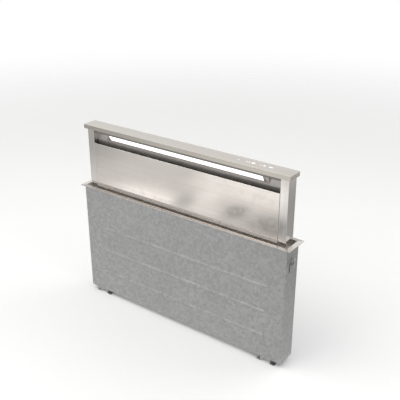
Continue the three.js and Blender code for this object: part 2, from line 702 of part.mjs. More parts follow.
function pulley() {
  const rim = (heights) => rod('z', PULLEY_FLANGE_RADIUS, [0, 0], heights, 32);
  const core = rod('z', PULLEY_RADIUS, [0, 0], [pulleyBottom, pulleyTop], 32);
  return cut(join(core, rim([pulleyBottom, pulleyBottom + PULLEY_FLANGE_THICKNESS]),
    rim([pulleyTop - PULLEY_FLANGE_THICKNESS, pulleyTop])), journalBore([pulleyBottom - 1, pulleyTop + 1]));
}

// A loop round both pulleys
function timingBelt() {
  const loop = (radius, heights) => {
    const halfTurn = (side) => Array.from({ length: 17 }, (_, i) => {
      const angle = side + (Math.PI * i) / 16 - Math.PI / 2;
      return [Math.sign(Math.cos(side)) * columnMiddle + radius * Math.cos(angle),
        towerMiddle + radius * Math.sin(angle)];
    });
    return prism('z', [...halfTurn(0), ...halfTurn(Math.PI)], heights);
  };
  const inner = PULLEY_RADIUS + RUNNING_GAP;
  return cut(loop(inner + BELT_THICKNESS, [beltTop - BELT_WIDTH, beltTop]),
    loop(inner, [beltTop - BELT_WIDTH - 1, beltTop + 1]));
}

// Straight-flanked teeth, thinned on the pitch circle by half the backlash
function gearOutline(teeth, firstTooth) {
  const pitchRadius = (GEAR_MODULE * teeth) / 2;
  const toothAngle = (2 * Math.PI) / teeth;
  const halfThickness = toothAngle / 4 - GEAR_BACKLASH / 4 / pitchRadius;
  const flank = [[-1.15, 1.45], [0.95, 0.5]]; // height in modules, half width in pitch half widths
  return Array.from({ length: teeth }, (_, i) => {
    const middle = firstTooth + toothAngle * i;
    const corner = ([height, width], side) => {
      const radius = pitchRadius + height * GEAR_MODULE;
      const angle = middle + side * halfThickness * width;
      return [radius * Math.cos(angle), radius * Math.sin(angle)];
    };
    return [corner(flank[0], -1), corner(flank[1], -1), corner(flank[1], 1), corner(flank[0], 1)];
  }).flat();
}

// A tooth of the drive gear faces the pinion, and a space of the pinion takes it
function driveGear() {
  const gear = prism('z', gearOutline(GEAR_TEETH, Math.PI), [gearBottom, gearTop]);
  return atScrew(cut(gear, journalBore([gearBottom - 1, gearTop + 1])), RIGHT);
}

function motorPinion() {
  const gear = prism('z', gearOutline(PINION_TEETH, Math.PI / PINION_TEETH), [gearBottom, gearTop]);
  const shaft = rod('z', MOTOR_SHAFT_RADIUS, [0, 0], [motorTop - MOTOR_SHAFT_DEPTH, gearTop - 1], 16);
  return join(gear, shaft).translate([pinionX, towerMiddle, 0]);
}

function screwBearing() {
  const outline = roundedRectangle(span(0, BEARING_SIZE), span(0, BEARING_SIZE), 3);
  const block = prism('z', outline, [bearingBottom, bearingTop]);
  return cut(block, journalBore([bearingBottom - 1, bearingTop + 1]));
}

// The shelf that carries the drive, its long edges turned down
function driveCarrier() {
  const end = housingInnerEnd - SEAT_GAP;
  const sides = [housingInnerFront + SEAT_GAP, housingInnerBack - 2 * SEAT_GAP - HOUSING_SHEET];
  const shelf = box([-end, end], sides, [carrierTop - CARRIER_RETURN, carrierTop]);
  const under = box([-end - 1, end + 1], [sides[0] + CARRIER_SHEET, sides[1] - CARRIER_SHEET],
    [carrierTop - CARRIER_RETURN - 1, carrierBottom]);
  const bores = [RIGHT, LEFT].map((side) =>
    atScrew(journalBore([carrierBottom - 1, carrierTop + 1]), side));
  const shaftWay = rod('z', MOTOR_SHAFT_RADIUS + RUNNING_GAP, [pinionX, towerMiddle],
    [carrierBottom - 1, carrierTop + 1], 16);
  return cut(shelf, under, ...bores, shaftWay);
}

function liftMotor() {
  const at = [pinionX, towerMiddle];
  const [wide, deep] = at.map((middle) => span(middle, 2 * MOTOR_RADIUS));
  const gearboxBottom = motorTop - MOTOR_GEARBOX_HEIGHT;
  const gearbox = prism('z', roundedRectangle(wide, deep, MOTOR_GEARBOX_CORNER), [gearboxBottom, motorTop]);
  const can = rod('z', MOTOR_RADIUS, at, [motorBottom + MOTOR_BELL_HEIGHT, gearboxBottom + 1], 28);
  const endBell = rod('z', MOTOR_RADIUS - MOTOR_BELL_INSET, at, [motorBottom, gearboxBottom], 28);
  const shaftWay = rod('z', MOTOR_SHAFT_RADIUS + RUNNING_GAP, at,
    [motorTop - MOTOR_SHAFT_DEPTH - 1, motorTop + 1], 16);
  return cut(join(gearbox, can, endBell), shaftWay);
}

// A small switch with its lever, on the housing's back, touched by the tower's foot
function limitSwitch(top) {
  const back = housingInnerBack - SEAT_GAP;
  const body = box(span(0, SWITCH_LENGTH), [back - SWITCH_THICKNESS, back], [top - SWITCH_HEIGHT, top]);
  const lever = box([-0.4 * SWITCH_LENGTH, SWITCH_LENGTH / 2],
    span(back - SWITCH_THICKNESS / 2, SWITCH_LEVER_WIDTH), [top - 1, top + SWITCH_LEVER_LIFT]);
  return join(body, lever).translate([-switchX, 0, 0]);
}

const switchX = columnInside - 2 * SWITCH_LENGTH;
atBothScrews('lead_screw', leadScrew(), steel);
atBothScrews('lift_nut', liftNut(), whiteAcetal, tower);
atBothScrews('screw_pulley', pulley(), aluminium);
atBothScrews('screw_bearing', screwBearing(), blackPlastic);
part('timing_belt', timingBelt(), darkRubber);
part('drive_gear', driveGear(), whiteAcetal);
part('motor_pinion', motorPinion(), brass);
part('drive_carrier', driveCarrier(), galvanised);
part('lift_motor', liftMotor(), blackSteel);
part('limit_switch_raised', limitSwitch(towerBottom - SWITCH_HEIGHT / 2), blackPlastic);
part('limit_switch_lowered', limitSwitch(pulleyTop - RUNNING_GAP), blackPlastic);

// ---------------------------------------------------------------- blower

// The scroll's outline as (z, x) points: a spiral from the tongue round to the mouth, grown by `by`.
// `reach` is how far the mouth lies from the blower's axis.
function scrollOutline(by, reach) {
  const tongueRadius = SCROLL_START_RADIUS + by;
  const tongueAngle = -Math.PI - Math.asin((mouthTop + by - BLOWER_Z) / tongueRadius);
  const sweep = 360 + SCROLL_TONGUE_ANGLE + 90; // tongue to the foot of the scroll, clockwise
  const at = (radius, angle) =>
    [BLOWER_Z + radius * Math.sin(angle), BLOWER_X + radius * Math.cos(angle)];
  const spiral = Array.from({ length: SCROLL_STEPS }, (_, i) => {
    const share = (i + 1) / SCROLL_STEPS;
    const radius = SCROLL_START_RADIUS + (SCROLL_END_RADIUS - SCROLL_START_RADIUS) * share + by;
    return at(radius, radians(SCROLL_TONGUE_ANGLE - sweep * share));
  });
  const mouth = BLOWER_X - reach;
  return [at(tongueRadius, tongueAngle), ...spiral, [mouthBottom - by, mouth], [mouthTop + by, mouth]];
}

const alongY = (outline, depths) => prism('y', outline, depths);

// The flange that the side plates and the wrap share
const sidePlate = (depths) => alongY(scrollOutline(SCROLL_FLANGE, SCROLL_MOUTH_REACH), depths);

// Side plate against the housing, its inlet lip rolled inwards
function blowerFrontPlate() {
  const centre = [BLOWER_Z, BLOWER_X];
  const back = scrollFrontPlate + SCROLL_SHEET;
  const lipEnd = back + INLET_LIP - IMPELLER_GAP;
  const lip = cut(rod('y', INLET_RADIUS + SCROLL_SHEET, centre, [back - SCROLL_SHEET, lipEnd], 32),
    rod('y', INLET_RADIUS, centre, [back - 2 * SCROLL_SHEET, lipEnd + 1], 32));
  const hole = rod('y', INLET_RADIUS, centre, [scrollFrontPlate - 1, back + 1], 32);
  return join(cut(sidePlate([scrollFrontPlate, back]), hole), lip);
}

function blowerWrap() {
  const depths = [scrollFront, scrollBack];
  const outer = alongY(scrollOutline(SCROLL_SHEET, SCROLL_MOUTH_REACH), depths);
  const hollow = alongY(scrollOutline(0, SCROLL_MOUTH_REACH + 1), [depths[0] - 1, depths[1] + 1]);
  return cut(outer, hollow);
}

function blowerBackPlate() {
  const hole = rod('y', FAN_SHAFT_RADIUS + RUNNING_GAP, [BLOWER_Z, BLOWER_X],
    [scrollBackPlate - 1, scrollBackPlate + SCROLL_SHEET + 1], 20);
  return cut(sidePlate([scrollBackPlate, scrollBackPlate + SCROLL_SHEET]), hole);
}

// Forward-curved blades between an open ring at the front and a disc at the back, on a shaft
function impeller() {
  const centre = [BLOWER_Z, BLOWER_X];
  const [front, back] = [scrollFront + IMPELLER_GAP, scrollBack - IMPELLER_GAP];
  const sheet = BLADE_THICKNESS;
  const ring = cut(rod('y', IMPELLER_RADIUS, centre, [front, front + 2 * sheet], 40),
    rod('y', IMPELLER_INNER_RADIUS, centre, [front - 1, front + 3 * sheet], 40));
  const disc = rod('y', IMPELLER_RADIUS, centre, [back - sheet, back], 40);
  const hub = rod('y', HUB_RADIUS, centre, [back - HUB_LENGTH, back], 20);
  const shaft = rod('y', FAN_SHAFT_RADIUS, centre,
    [back - HUB_LENGTH - FAN_SHAFT_RADIUS, fanMotorFront + FAN_SHAFT_DEPTH], 20);
  const blades = Array.from({ length: IMPELLER_BLADES }, (_, i) => {
    const start = (2 * Math.PI * i) / IMPELLER_BLADES;
    const edge = (offset) => [0, 0.5, 1].map((share) => {
      const radius = IMPELLER_INNER_RADIUS + 1 + (IMPELLER_RADIUS - IMPELLER_INNER_RADIUS - 2) * share;
      const angle = start - BLADE_BEND * share * share + offset / radius;
      return [BLOWER_Z + radius * Math.sin(angle), BLOWER_X + radius * Math.cos(angle)];
    });
    return alongY([...edge(-sheet / 2), ...edge(sheet / 2).reverse()], [front + sheet, back - sheet / 2]);
  });
  return join(ring, disc, hub, shaft, ...blades);
}

function blowerMotor() {
  const at = [BLOWER_X, fanMotorFront, BLOWER_Z];
  const dish = FAN_MOTOR_LENGTH - FAN_MOTOR_DISH;
  const can = turned([
    [0, 0], [FAN_MOTOR_FLANGE_RADIUS, 0], [FAN_MOTOR_FLANGE_RADIUS, FAN_MOTOR_FLANGE_THICKNESS],
    [FAN_MOTOR_RADIUS, FAN_MOTOR_FLANGE_THICKNESS],
    [FAN_MOTOR_RADIUS, FAN_MOTOR_LENGTH - FAN_MOTOR_SHOULDER],
    [FAN_MOTOR_RADIUS - FAN_MOTOR_SHOULDER, FAN_MOTOR_LENGTH],
    [FAN_MOTOR_RADIUS / 2, FAN_MOTOR_LENGTH], [FAN_MOTOR_RADIUS / 2 - FAN_MOTOR_DISH, dish], [0, dish],
  ], 'y', at, 28);
  return cut(can, rod('y', FAN_SHAFT_RADIUS + RUNNING_GAP, [BLOWER_Z, BLOWER_X],
    [fanMotorFront - 1, fanMotorFront + FAN_SHAFT_DEPTH + 2], 20));
}

// ---------------------------------------------------------------- outlet

// Sheet that turns from the scroll's rectangular mouth to a round spigot, with a flange at the mouth
function outletTransition() {
  const steps = 32;
  const mouthY = (scrollFront + scrollBack) / 2;
  const halves = [SCROLL_WIDTH / 2, (mouthTop - mouthBottom) / 2];
  const around = (i) => (2 * Math.PI * (i + 0.5)) / steps;
  const rectangleRing = (x, by) => Array.from({ length: steps }, (_, i) => {
    const [a, b] = [Math.cos(around(i)), Math.sin(around(i))];
    const reach = 1 / Math.max(Math.abs(a), Math.abs(b));
    return [x, mouthY + a * reach * (halves[0] + by), ductZ + b * reach * (halves[1] + by)];
  });
  const roundRing = (x, radius) => Array.from({ length: steps }, (_, i) =>
    [x, ductY + radius * Math.cos(around(i)), ductZ + radius * Math.sin(around(i))]);
  const sleeve = (by, past) => {
    const rings = [
      rectangleRing(transitionMouthX + past, by), roundRing(spigotX, DUCT_RADIUS - DUCT_WALL + by),
      roundRing(spigotEnd - past, DUCT_RADIUS - DUCT_WALL + by),
    ];
    return skin(rings);
  };
  const flange = box([transitionMouthX - SCROLL_SHEET, transitionMouthX],
    [scrollFrontPlate, scrollBackPlate + SCROLL_SHEET],
    [mouthBottom - SCROLL_FLANGE, mouthTop + SCROLL_FLANGE]);
  const spindleWay = [-1, 1].map((side) => rod('z', FLAP_SPINDLE_RADIUS + RUNNING_GAP,
    [flapX, ductY + side * FLAP_SPINDLE_OFFSET], [ductZ - DUCT_RADIUS - 2, ductZ + DUCT_RADIUS + 2], 12));
  return cut(join(sleeve(DUCT_WALL, 0), flange), sleeve(0, 1), ...spindleWay);
}

// Rings of equal length, joined in order and closed at both ends; each ring runs round -X
function skin(rings) {
  const steps = rings[0].length;
  const middles = [rings[0], rings[rings.length - 1]].map((ring) =>
    [0, 1, 2].map((axis) => ring.reduce((sum, point) => sum + point[axis], 0) / steps));
  const points = [...rings.flat(), ...middles];
  const at = (ring, i) => ring * steps + (i % steps);
  const last = rings.length - 1;
  const faces = [];
  for (let i = 0; i < steps; i++) {
    for (let ring = 0; ring < last; ring++) {
      faces.push(at(ring, i), at(ring + 1, i), at(ring, i + 1));
      faces.push(at(ring, i + 1), at(ring + 1, i), at(ring + 1, i + 1));
    }
    faces.push(points.length - 2, at(0, i), at(0, i + 1));
    faces.push(points.length - 1, at(last, i + 1), at(last, i));
  }
  const geometry = new THREE.BufferGeometry();
  geometry.setAttribute('position', new THREE.Float32BufferAttribute(points.flat(), 3));
  geometry.setIndex(faces);
  return solid(geometry);
}

// Half a disc on its own upright spindle; `side` is -1 in front of the centre line and 1 behind it
function damperFlap(side) {
  const radius = DUCT_RADIUS - DUCT_WALL - FLAP_GAP;
  const hinge = FLAP_SPINDLE_OFFSET;
  const start = Math.asin((hinge - FLAP_SPINDLE_RADIUS / 2) / radius);
  const rim = Array.from({ length: 17 }, (_, i) => {
    const angle = start + ((Math.PI - 2 * start) * i) / 16;
    return [radius * Math.sin(angle), radius * Math.cos(angle)]; // (y, z)
  });
  const plate = prism('x', [...rim].reverse(), span(0, FLAP_THICKNESS));
  const reach = DUCT_RADIUS - FLAP_GAP / 2;
  const spindle = rod('z', FLAP_SPINDLE_RADIUS, [0, hinge], [-reach, reach], 12);
  const flap = join(plate, spindle);
  return (side < 0 ? flap.mirror([0, 1, 0]) : flap).translate([flapX, ductY, ductZ]);
}

part('blower_front_plate', blowerFrontPlate(), galvanised);
part('blower_wrap', blowerWrap(), galvanised);
part('blower_back_plate', blowerBackPlate(), galvanised);
part('impeller', impeller(), blackPlastic);
part('blower_motor', blowerMotor(), blackSteel);
part('outlet_transition', outletTransition(), galvanised);
part('damper_flap_front', damperFlap(-1), greyPlastic);
part('damper_flap_back', damperFlap(1), greyPlastic);

// ---------------------------------------------------------------- control box

const controlX = [housingEnd - CONTROL_FROM_END - CONTROL_LENGTH, housingEnd - CONTROL_FROM_END];
const controlZ = [CONTROL_TOP - CONTROL_HEIGHT, CONTROL_TOP];
const controlFront = housingBack + SEAT_GAP;
const controlLid = controlFront + CONTROL_DEPTH - 2 * CONTROL_WALL;

function controlBox() {
  const inner = ([from, to]) => [from + CONTROL_WALL, to - CONTROL_WALL];
  const outline = roundedRectangle(controlZ, controlX, CONTROL_CORNER);
  const shell = prism('y', outline, [controlFront, controlLid]);
  const hollow = box(inner(controlX), [controlFront + CONTROL_WALL, controlLid + 1], inner(controlZ));
  const glandWay = rod('z', GLAND_RADIUS - GLAND_NECK_INSET + RUNNING_GAP, glandPlace,
    [controlZ[0] - 1, controlZ[0] + CONTROL_WALL + 1], 24);
  const posts = [0.1, 0.9].flatMap((u) => [0.1, 0.9].map((w) => rod('y', BOARD_POST_RADIUS,
    [controlZ[0] + CONTROL_HEIGHT * w, controlX[0] + CONTROL_LENGTH * u],
    [controlFront + 1, controlFront + CONTROL_WALL + BOARD_STANDOFF], 10)));
  return cut(join(cut(shell, hollow), ...posts), glandWay);
}

const glandPlace = [controlX[0] + 0.75 * CONTROL_LENGTH, controlFront + CONTROL_DEPTH / 2];

// A lid with a step that locates inside the box
function controlCover() {
  const plate = prism('y', roundedRectangle(controlZ, controlX, CONTROL_CORNER),
    [controlLid + SEAT_GAP, controlLid + SEAT_GAP + CONTROL_WALL]);
  const inset = CONTROL_WALL + RUNNING_GAP;
  const within = (by, depths) => box([controlX[0] + by, controlX[1] - by], depths,
    [controlZ[0] + by, controlZ[1] - by]);
  const step = within(inset, [controlLid - CONTROL_LID_STEP, controlLid + 1]);
  const hollow = within(2 * inset, [controlLid - CONTROL_LID_STEP - 1, controlLid + SEAT_GAP]);
  return cut(join(plate, step), hollow);
}

// The board, with its transformer, relays, capacitor and terminal strip
function controlBoard() {
  const back = controlFront + CONTROL_WALL + BOARD_STANDOFF + SEAT_GAP;
  const face = back + BOARD_THICKNESS;
  const margin = 2 * CONTROL_WALL;
  const [x0, x1] = [controlX[0] + margin, controlX[1] - margin];
  const [z0, z1] = [controlZ[0] + margin, controlZ[1] - margin];
  const board = box([x0, x1], [back, face], [z0, z1]);
  // Place and size are shares of the board, and the height above it a share of the box's depth
  const block = (u, w, length, height, tall) => box(
    span(x0 + (x1 - x0) * u, (x1 - x0) * length), [face - BOARD_THICKNESS / 2, face + CONTROL_DEPTH * tall],
    span(z0 + (z1 - z0) * w, (z1 - z0) * height));
  const transformer = block(0.7, 0.83, 0.32, 0.21, 0.5);
  const relays = [0.2, 0.4, 0.6].map((u) => block(u, 0.6, 0.12, 0.12, 0.34));
  const capacitor = block(0.22, 0.84, 0.17, 0.17, 0.41);
  const terminals = block(0.5, 0.28, 0.6, 0.08, 0.27);
  const chip = block(0.8, 0.5, 0.1, 0.09, 0.2);
  return join(board, transformer, ...relays, capacitor, terminals, chip);
}

function cableGland() {
  const neck = GLAND_RADIUS - GLAND_NECK_INSET;
  const top = CONTROL_WALL + GLAND_THREAD;
  return turned([
    [GLAND_BORE, -GLAND_LENGTH], [0.67 * GLAND_RADIUS, -GLAND_LENGTH],
    [0.89 * GLAND_RADIUS, -0.8 * GLAND_LENGTH], [GLAND_RADIUS, -0.36 * GLAND_LENGTH],
    [GLAND_RADIUS, -SEAT_GAP], [neck, -SEAT_GAP], [neck, top], [GLAND_BORE, top],
    [GLAND_BORE, -GLAND_LENGTH],
  ], 'z', [...glandPlace, controlZ[0]], 20);
}

part('control_box', controlBox(), galvanised);
part('control_cover', controlCover(), galvanised);
part('control_board', controlBoard(), circuitGreen);
part('cable_gland', cableGland(), blackPlastic);

// ---------------------------------------------------------------- clamps and feet

const clampFace = housingEnd + SEAT_GAP;
const clampTop = -CLAMP_DROP;

// An angle on each end of the housing, its leg holding the screw that presses up under the worktop
function worktopClamp() {
  const upright = box([clampFace, clampFace + CLAMP_SHEET], span(0, CLAMP_WIDTH),
    [clampTop - CLAMP_HEIGHT, clampTop]);
  const leg = box([clampFace, clampFace + CLAMP_REACH], span(0, CLAMP_WIDTH),
    [clampTop - CLAMP_SHEET, clampTop]);
  const screwWay = rod('z', CLAMP_SCREW_RADIUS + RUNNING_GAP / 2, clampScrewPlace,
    [clampTop - CLAMP_SHEET - 1, clampTop + 1], 16);
  return cut(join(upright, leg), screwWay);
}

const clampScrewPlace = [clampFace + CLAMP_REACH - CLAMP_PAD_RADIUS, 0];

function clampScrew() {
  const headTop = clampTop - CLAMP_SHEET - SEAT_GAP;
  const padBottom = -WORKTOP_THICKNESS - CLAMP_PAD_THICKNESS;
  const head = rod('z', CLAMP_PAD_RADIUS, clampScrewPlace, [headTop - CLAMP_SCREW_HEAD, headTop], 6);
  const shank = rod('z', CLAMP_SCREW_RADIUS, clampScrewPlace, [headTop - 1, padBottom + 1], 16);
  const pad = rod('z', CLAMP_PAD_RADIUS, clampScrewPlace, [padBottom, -WORKTOP_THICKNESS], 16);
  return join(head, shank, pad);
}

// A hat-shaped foot across the bottom, standing on two toes
function foot() {
  const top = housingBottom - SEAT_GAP;
  const bottom = top - FOOT_HEIGHT;
  const half = FOOT_WIDTH / 2;
  const outline = [ // (z, x)
    [top, -half], [top, half], [bottom + FOOT_SHEET, half], [bottom + FOOT_SHEET, half + FOOT_TOE],
    [bottom, half + FOOT_TOE], [bottom, half - FOOT_SHEET], [top - FOOT_SHEET, half - FOOT_SHEET],
    [top - FOOT_SHEET, -half + FOOT_SHEET], [bottom, -half + FOOT_SHEET], [bottom, -half - FOOT_TOE],
    [bottom + FOOT_SHEET, -half - FOOT_TOE], [bottom + FOOT_SHEET, -half],
  ];
  const x = housingEnd - FOOT_FROM_END - half;
  return prism('y', outline, [housingFront, housingBack]).translate([x, 0, 0]);
}

pair('worktop_clamp', worktopClamp(), galvanised);
pair('clamp_screw', clampScrew(), steel);
pair('foot', foot(), galvanised);

export default vent;
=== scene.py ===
"""Worktop downdraft vent: finishes, fine details, studio and camera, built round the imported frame.

Metres, in the frame's own axes: X runs along the vent, Y to its back, Z up, and z = 0 is the
worktop's top face. Every piece either dresses a CAD node or sits on one.
"""

import json
from math import atan2, cos, hypot, pi, radians, sin

import bmesh
import bpy
from bpy.props import FloatProperty, FloatVectorProperty, IntProperty, PointerProperty
from mathutils import Matrix, Vector

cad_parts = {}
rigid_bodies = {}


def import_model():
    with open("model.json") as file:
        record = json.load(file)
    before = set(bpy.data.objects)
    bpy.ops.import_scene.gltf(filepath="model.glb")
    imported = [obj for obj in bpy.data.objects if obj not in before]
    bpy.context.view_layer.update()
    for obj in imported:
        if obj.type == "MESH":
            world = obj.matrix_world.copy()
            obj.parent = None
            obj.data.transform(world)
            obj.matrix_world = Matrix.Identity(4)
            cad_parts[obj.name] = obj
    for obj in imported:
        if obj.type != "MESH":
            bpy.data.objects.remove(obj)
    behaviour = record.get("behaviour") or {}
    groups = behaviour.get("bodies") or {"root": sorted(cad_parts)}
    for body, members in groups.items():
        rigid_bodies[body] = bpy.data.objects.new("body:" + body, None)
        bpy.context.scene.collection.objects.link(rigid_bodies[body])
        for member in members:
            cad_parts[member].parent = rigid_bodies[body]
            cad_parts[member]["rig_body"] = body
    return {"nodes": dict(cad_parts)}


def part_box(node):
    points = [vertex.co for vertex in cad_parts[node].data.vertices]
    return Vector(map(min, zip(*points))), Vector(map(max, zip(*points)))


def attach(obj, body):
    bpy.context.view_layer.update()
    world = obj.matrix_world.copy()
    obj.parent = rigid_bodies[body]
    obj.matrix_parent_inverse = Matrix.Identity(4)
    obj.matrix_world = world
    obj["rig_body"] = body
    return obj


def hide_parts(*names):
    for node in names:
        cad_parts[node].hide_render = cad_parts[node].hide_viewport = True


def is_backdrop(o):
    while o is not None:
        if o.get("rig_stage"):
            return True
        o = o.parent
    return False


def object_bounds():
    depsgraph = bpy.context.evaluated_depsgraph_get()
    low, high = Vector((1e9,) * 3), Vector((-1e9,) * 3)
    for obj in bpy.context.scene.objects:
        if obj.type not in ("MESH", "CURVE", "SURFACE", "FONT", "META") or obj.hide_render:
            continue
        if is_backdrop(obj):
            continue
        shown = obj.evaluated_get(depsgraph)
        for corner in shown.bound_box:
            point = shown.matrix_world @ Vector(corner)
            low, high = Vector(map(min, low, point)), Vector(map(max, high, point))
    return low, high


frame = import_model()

bl_info = {
    "name": "Worktop Downdraft Vent",
    "version": (1, 0, 0),
    "blender": (4, 5, 0),
    "location": "View3D > Sidebar > Vent",
    "description": "Dresses the packed frame of a worktop downdraft vent and sets up its studio",
    "category": "Object",
}

CAD_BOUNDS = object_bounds()

# Grain directions, as the axis that the brushing runs along
ALONG_X, ALONG_Y, ALONG_Z = 0, 1, 2
# How far the brushing lines, and the bands they gather into, are drawn out along each direction
GRAIN_STRETCH = ((5.0, 950.0, 950.0), (950.0, 5.0, 950.0), (950.0, 950.0, 5.0))
GRAIN_BANDS = ((0.9, 70.0, 70.0), (70.0, 0.9, 70.0), (70.0, 70.0, 0.9))

MERGED_WITHIN = 2e-6
FLAT_WITHIN = 0.6  # degrees
SHARP_FROM = 32  # degrees

FINISH_PREFIX = "vent_"  # keeps these apart from the frame's own plain materials

# Sheet that the wiper seal has dulled: how much rougher, from which height and down to which
PANEL_FOOT = (0.4, 0.018, 0.001)
COLUMN_FOOT = (0.3, 0.005, -0.012)
DUST_COLOUR = (0.42, 0.39, 0.35)
CUT_ZINC = (0.78, 0.79, 0.8)

# Directions out of the vent's faces
FRONT, BACK = (0, -1, 0), (0, 1, 0)
LEFT, RIGHT = (-1, 0, 0), (1, 0, 0)
SIDES = ("left", "right")

# Heads of fixings as (radius, height) points, in shares of the radius and of its PROUD share
RIVET = ((0.0, 1.0), (0.34, 1.0), (0.4, 0.72), (0.5, 0.72), (0.8, 0.5), (1.0, 0.06), (1.0, -0.12))
SCREW = ((0.0, 0.3), (0.3, 0.3), (0.36, 0.86), (0.58, 0.8), (0.86, 0.52), (1.0, 0.08), (1.0, -0.12))
PROUD = 0.42
HEAD_STEPS = 14

TOUCH_LINE = 0.002  # y of the row of touch keys
# The touch keys' marks, from the row's left: distance from the cap's end, and the shape
TOUCH_KEYS = ((0.2043, "ring"), (0.1735, "dash"), (0.1645, "dot"), (0.1493, "pill"),
              (0.1212, "ring"), (0.1094, "plus"), (0.086, "bar"))
# Rounded marks: half width and half depth as shares of the mark size, bulge (2 for an ellipse,
# 8 nearly a bar), and the hole's share of the width
TOUCH_SHAPES = {"ring": (0.5, 0.5, 2, 0.86), "dash": (0.36, 0.16, 6, 0.0),
                "dot": (0.26, 0.26, 2, 0.0), "pill": (0.8, 0.36, 4, 0.0),
                "bar": (0.9, 0.24, 6, 0.0)}

SLOT_SHEET = 0.001  # of the plates at both ends of the light bar
LIP_REACH = 0.0033  # of the trim strip's fold down over the diffuser
LIP_SHEET = 0.0006
LAMP_COUNT = 14  # behind the diffuser
FILTER_FRAME = 0.012  # width of a grease filter's frame
MESH_OUT = 0.0031  # of each mesh face from the middle of its filter
BEAD_HEIGHTS = (0.2, 0.42, 0.64)  # as shares of the shell's height
BEAD_WIDTH = 0.02
BEAD_RISE = 0.003
CLAMP_SHEET = 0.002
BELT_SHEET = 0.0015
DUCT_RADIUS = 0.075
FLANGE_SHEET = 0.0015  # of the outlet's flange on the scroll
LOUVRE_COUNT = 6
GLAND_RIBS = 18

# How bright polished sheet shows the room, as a painted reflection in the floor that only glossy
# rays see
MIRRORED_FLOOR = 0.8
FAR_LEFT = (-1.7, -1.2, 0.49)  # x where the floor is greyest and where it is back, and that grey
FAR_RIGHT = (0.1, 0.9, -0.18)  # x where it starts and ends to grey, and what that adds
MIRRORED_HORIZON = 0.66
HORIZON_BAND = (0.02, 0.3)  # heights of the view direction from there to the full background
# Painted cards in the floor's reflection, seen only by glossy rays: x, y, half width,
# half depth, and what each adds to the floor's brightness
PAINTED_REFLECTION_CARDS = (
    (-0.86, -0.81, 0.26, 0.12, 0.56),
    (-0.655, -0.87, 0.06, 0.09, -0.38),
    (-0.50, -0.86, 0.08, 0.10, 0.2),
    (-0.60, -1.00, 0.08, 0.12, 0.25),
    (-0.74, -1.20, 0.10, 0.15, 0.15),
    (-0.38, -1.23, 0.38, 0.19, 0.42),
    (-0.365, -0.945, 0.06, 0.085, -0.38),
    (-0.10, -0.91, 0.18, 0.10, -0.42),
    (1.10, 1.00, 0.60, 0.50, -0.22),
    (2.40, 2.50, 0.80, 0.90, -0.34),
    (1.55, 1.90, 0.30, 0.40, 0.18),
)
PAINTED_CARD_EDGE = (1.45, 0.35)  # where a card starts and where it is full, as shares of its half sizes
FLOOR_FADE = (0.25, 0.85)  # where the floor starts to fade and is clear, as shares of its radius

SENSOR = 36.0  # mm
CAMERA_PLACE = (1.29256, -1.65667, 0.99034)
CAMERA_YAW = 36.31  # degrees
CAMERA_PITCH = -24.34

ORIGIN = (0.0, 0.0, 0.0)
WHITE = (1.0, 1.0, 1.0)


# ---------------------------------------------------------------- settings


class VentFinishes(bpy.types.PropertyGroup):
    """Colours of the visible metals and the amounts of wear, grain and light."""

    steel: FloatVectorProperty(
        name="Stainless steel", description="Colour of the brushed visible sheet",
        subtype="COLOR", size=3, min=0.0, max=1.0, default=(0.755, 0.716, 0.68))
    steel_shade: FloatVectorProperty(
        name="Stainless shade", description="Colour of the darker streaks in the brushed sheet",
        subtype="COLOR", size=3, min=0.0, max=1.0, default=(0.47, 0.438, 0.41))
    zinc: FloatVectorProperty(
        name="Zinc", description="Colour of the galvanised sheet",
        subtype="COLOR", size=3, min=0.0, max=1.0, default=(0.44, 0.445, 0.45))
    aluminium: FloatVectorProperty(
        name="Aluminium", description="Colour of the drive pulleys",
        subtype="COLOR", size=3, min=0.0, max=1.0, default=(0.5, 0.51, 0.52))
    # Darker than clean aluminium: partly grease, partly painted shade for the slot's dark gap
    filter_grease_and_shade: FloatVectorProperty(
        name="Filter aluminium", description="Colour of the used grease filters and their mesh",
        subtype="COLOR", size=3, min=0.0, max=1.0, default=(0.31, 0.295, 0.274))
    # Pale for rubber: painted light that lifts the shadowed gap round the tower
    seal: FloatVectorProperty(
        name="Seal rubber", description="Colour of the wiper seal round the tower",
        subtype="COLOR", size=3, min=0.0, max=1.0, default=(0.7, 0.69, 0.67))
    lamp: FloatVectorProperty(
        name="Lamp colour", description="Colour of the light bar when it is on",
        subtype="COLOR", size=3, min=0.0, max=1.0, default=(1.0, 0.985, 0.96))
    lamp_strength: FloatProperty(
        name="Lamp strength", description="Emission of the light bar's diffuser",
        min=0.0, max=20.0, default=1.02)
    grain_depth: FloatProperty(
        name="Grain depth", description="Bump strength of the brushing",
        min=0.0, max=1.0, default=0.22)
    edge_wear: FloatProperty(
        name="Edge wear", description="Share of brightening along worn edges",
        subtype="FACTOR", min=0.0, max=1.0, default=0.35)
    dust: FloatProperty(
        name="Dust", description="Share of dust on the upward faces below the worktop",
        subtype="FACTOR", min=0.0, max=1.0, default=0.22)


